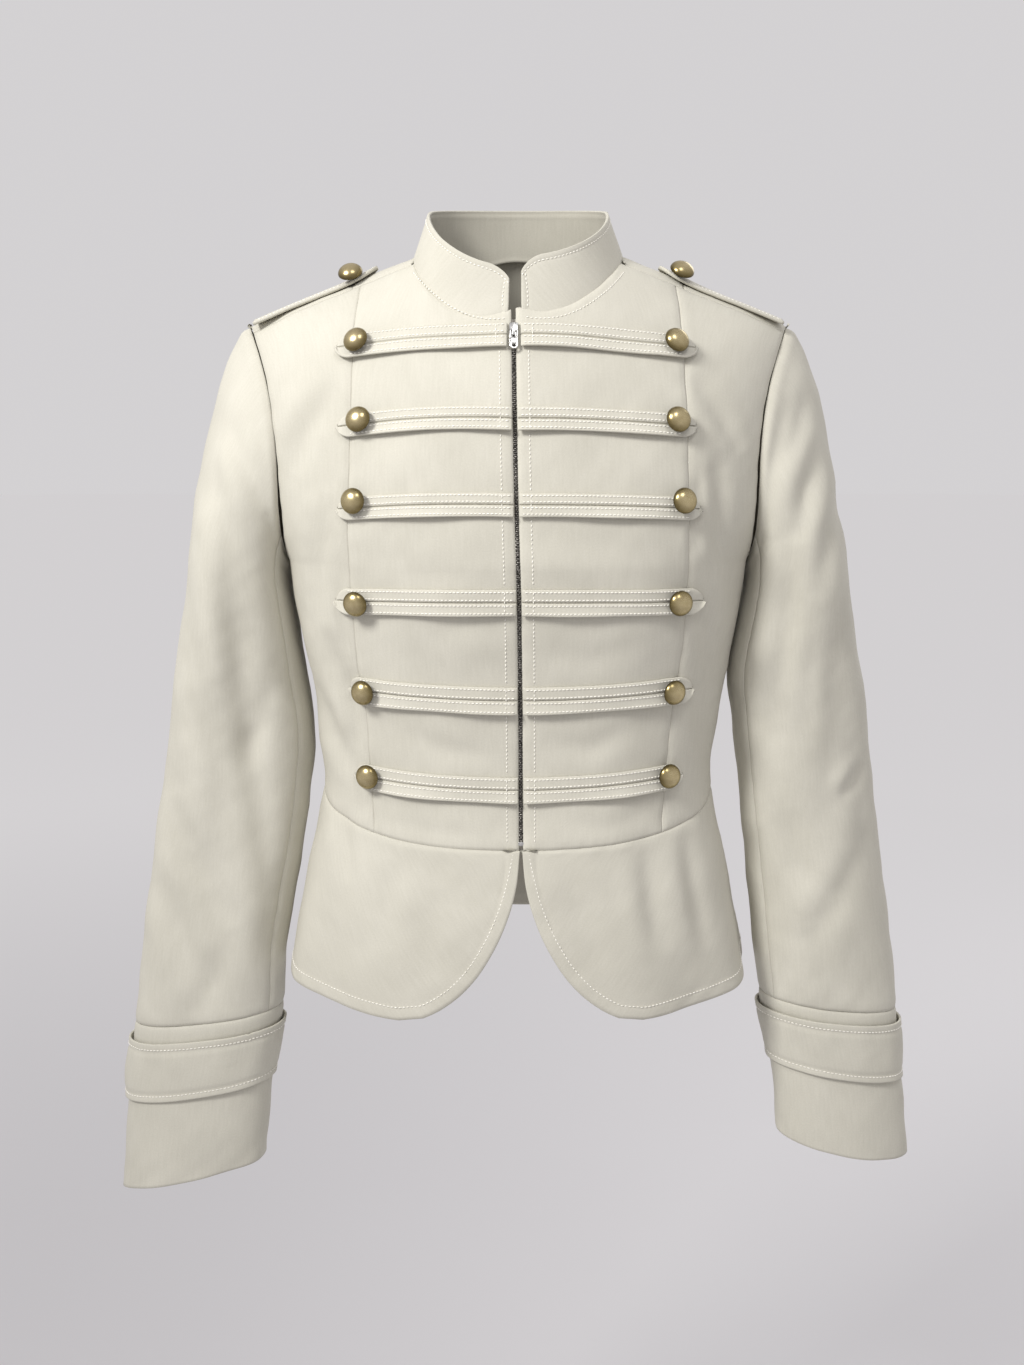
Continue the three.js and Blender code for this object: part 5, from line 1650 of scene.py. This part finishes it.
# %% Setting the slider on the front
z = -67.0
at = body(*front_place(float(curve(ZIP_LINE, z)), z))
_, n = line_frame(np.array([z]), np.array([0.0]), 0.0)
n = np.array([0, n[0, 1], n[0, 2]])
n = n / np.linalg.norm(n)
basis = Matrix.Identity(4)
for i, axis in enumerate(((1, 0, 0), np.cross(n, (1, 0, 0)), n)):
    for j in range(3):
        basis[j][i] = float(axis[j])
basis.translation = Vector(at) * MM
for made, node, ride in ((slider, "zip_slider", "jacket"), (pull, "zip_pull", "zip_pull")):
    made.data.transform(basis)
    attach(made, ride)
    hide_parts(node)
    spans = [tuple(round(c, 4) for c in corner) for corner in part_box(node)]
    print(made.name, "solid box", spans)

# %% [markdown]
# ## Stitches
# Top stitching is a dotted line of small raised threads, each sunk at both ends where the
# needle went through. One stitch is made from a short rod: its middle is thickened and its
# ends are bent down. It is then repeated along each sewing line, which is measured on the
# finished cloth, so the rows keep their distance from the edge on every curve.

# %% One stitch
bpy.ops.object.select_all(action="DESELECT")
bpy.ops.mesh.primitive_cylinder_add(vertices=5, radius=0.40, depth=1.9, rotation=(math.pi / 2, 0, 0))
rod = bpy.context.object
bpy.ops.object.transform_apply(location=True, rotation=True, scale=True)
bpy.ops.object.mode_set(mode="EDIT")
bpy.ops.mesh.select_all(action="SELECT")
for where in (-0.45, 0.45):
    bpy.ops.mesh.select_all(action="SELECT")
    bpy.ops.mesh.bisect(plane_co=(0, where, 0), plane_no=(0, 1, 0))
bpy.ops.object.mode_set(mode="OBJECT")
for corner in rod.data.vertices:
    end = min(1.0, max(0.0, (abs(corner.co.y) - 0.45) / 0.5))
    corner.co.x *= 1 - 0.45 * end
    corner.co.z = corner.co.z * (1 - 0.45 * end) - 0.24 * end
stitch_shape = np.array([v.co[:] for v in rod.data.vertices])
stitch_faces = [tuple(p.vertices) for p in rod.data.polygons]
bpy.data.objects.remove(rod)
print("one stitch: corners", len(stitch_shape), " faces", len(stitch_faces))


# %% Sewing rows
def sewing(name, lines, pitch=2.9, lift=0.2, size=1.0):
    """Stitches along lines of (points, normals)."""
    places, frames = [], []
    for points, normals in lines:
        way = np.concatenate([[0], np.cumsum(np.linalg.norm(np.diff(points, axis=0), axis=1))])
        at = np.arange(pitch * 0.6, way[-1] - pitch * 0.4, pitch)
        if not len(at):
            continue
        p = np.stack([np.interp(at, way, points[:, c]) for c in range(3)], -1)
        ahead = np.stack([np.interp(at + 0.5, way, points[:, c]) for c in range(3)], -1)
        behind = np.stack([np.interp(at - 0.5, way, points[:, c]) for c in range(3)], -1)
        n = np.stack([np.interp(at, way, normals[:, c]) for c in range(3)], -1)
        n = n / np.linalg.norm(n, axis=1, keepdims=True)
        t = ahead - behind
        t = t - np.sum(t * n, 1, keepdims=True) * n
        t = t / np.linalg.norm(t, axis=1, keepdims=True)
        places.append(p + n * lift)
        frames.append(np.stack([np.cross(t, n), t, n], -1))
    shape = stitch_shape * size
    return many(name, np.concatenate(places), np.concatenate(frames), shape, stitch_faces, thread)


def inset_line(points, normals, side, by):
    """The line on a grid that runs at a distance from one of its edges."""
    if side in "tb":
        depth = measured(points, 0)
        if side == "b":
            depth = depth[-1:] - depth
            depth, points, normals = depth[::-1], points[::-1], normals[::-1]
        line = [[np.interp(by, depth[:, j], g[:, j, c]) for c in range(3)] for g in (points, normals) for j in range(points.shape[1])]
    else:
        depth = measured(points, 1)
        if side == "r":
            depth = depth[:, -1:] - depth
            depth, points, normals = depth[:, ::-1], points[:, ::-1], normals[:, ::-1]
        line = [[np.interp(by, depth[i], g[i, :, c]) for c in range(3)] for g in (points, normals) for i in range(points.shape[0])]
    line = np.array(line)
    half = len(line) // 2
    return line[:half], line[half:]


print("stitch helpers ready")

# %% Rows down the fronts, round the neck and round the peplum
front_rows = []
for sign in (-1, 1):
    for row in range(7):
        high = -58.0 if row == 0 else STRAPS[row - 1][0] - STRAPS[row - 1][2] / 2 - 1.5
        low = -411.0 if row == 6 else STRAPS[row][0] + STRAPS[row][2] / 2 + 1.0
        if high - low > 5:
            z = np.linspace(high, low, 40)
            front_rows.append(on_front(curve(ZIP_LINE, z) + sign * 9.5, z, 0.0))
    for row in range(6):
        at_zip, _, tall, tip_l, tip_r = STRAPS[row][:5]
        length = (tip_l if sign < 0 else tip_r) - 2.0
        q = np.linspace(-0.92, 0.92, 14)
        x, z, lift = strap_point(row, sign, np.full(14, 7.5 / length), q)
        front_rows.append(on_front(x, z, lift))
    turn = np.radians(np.linspace(7 if sign < 0 else 4, 66, 60))
    curve_points = neck_point(turn)
    x, z = curve_points[:, 0], curve_points[:, 2]
    across = np.gradient(np.stack([x, z], 1), axis=0)
    across = across / np.linalg.norm(across, axis=1, keepdims=True)
    front_rows.append(on_front(sign * (x + 6.0 * across[:, 1]), z - 6.0 * across[:, 0], 0.0))
sewing("stitches_front", front_rows, size=0.92)

peplum_rows = []
for sign in (-1, 1):
    a, z = peplum_front(sign, 52, 92)
    a, z = a[-1], z[-1]
    edge = body(a, z - UNDERARM)
    dz = np.diff(z)
    ds = np.sqrt(np.maximum(1e-6, np.sum(np.diff(edge, axis=0) ** 2, 1) - dz**2))
    s = np.concatenate([[0], np.cumsum(ds)])
    t = np.stack([np.gradient(s), np.gradient(z)], 1)
    t = t / np.linalg.norm(t, axis=1, keepdims=True)
    for by in (8.6,):
        s2, z2 = s - t[:, 1] * by, z + t[:, 0] * by
        keep = (z2 < -416) & (s2 > 0)
        base = body(np.interp(s2[keep], s, a), z2[keep] - UNDERARM)
        flat = base.copy()
        flat[:, 2] = 0
        n = np.stack([base[:, 0] / 165**2, base[:, 1] / 105**2, 0.0003 + 0 * base[:, 2]], -1)
        n = n / np.linalg.norm(n, axis=1, keepdims=True)
        peplum_rows.append((base + n * (drape(base) + 0.0)[:, None], n))
back_normals = outward(normals_of(BACK_HEM), BACK_HEM, (0, 0, -450))
peplum_rows.append(inset_line(BACK_HEM, back_normals, "b", 9.0))
sewing("stitches_peplum", peplum_rows)

# %% Rows on the collar, the cuffs and the tabs
collar_normals = outward(normals_of(COLLAR), COLLAR, (0, -15, 0))
collar_rows = [inset_line(COLLAR, collar_normals, side, 4.0) for side in "t"]
for side in "lr":
    line, n = inset_line(COLLAR, collar_normals, side, 4.0)
    depth = measured(COLLAR, 0)[:, 0 if side == "l" else -1]
    keep = (depth > 4.0) & (depth < depth[-1] - 2.0)
    collar_rows.append((line[keep], n[keep]))
sewing("stitches_collar", collar_rows, size=0.92)

band_rows = []
for sign in (-1, 1):
    points, normals = BAND_POINTS[sign]
    points = np.concatenate([points, points[:, :1]], 1)
    normals = np.concatenate([normals, normals[:, :1]], 1)
    for side, by in (("t", 4.4), ("b", 4.2)):
        band_rows.append(inset_line(points, normals, side, by))
    points, normals = TABS[sign]
    for side in "tb":
        line, n = inset_line(points, normals, side, 4.0)
        band_rows.append((line[8:-1], n[8:-1]))
    line, n = inset_line(points, normals, "l", 4.0)
    band_rows.append((line[7:-7], n[7:-7]))
sewing("stitches_bands", band_rows)

# %% Rows on the straps
strap_rows = []
for row in range(6):
    for sign in (-1, 1):
        half = STRAPS[row][2] / 2
        for off in (-half + 1.5, -1.9, 1.9, half - 1.5):
            p = np.linspace(0.012, 0.925, 90)
            x, z, lift = strap_point(row, sign, p, np.full(90, off / half))
            strap_rows.append(on_front(x, z, lift))
sewing("stitches_straps", strap_rows, pitch=2.7, size=1.0)
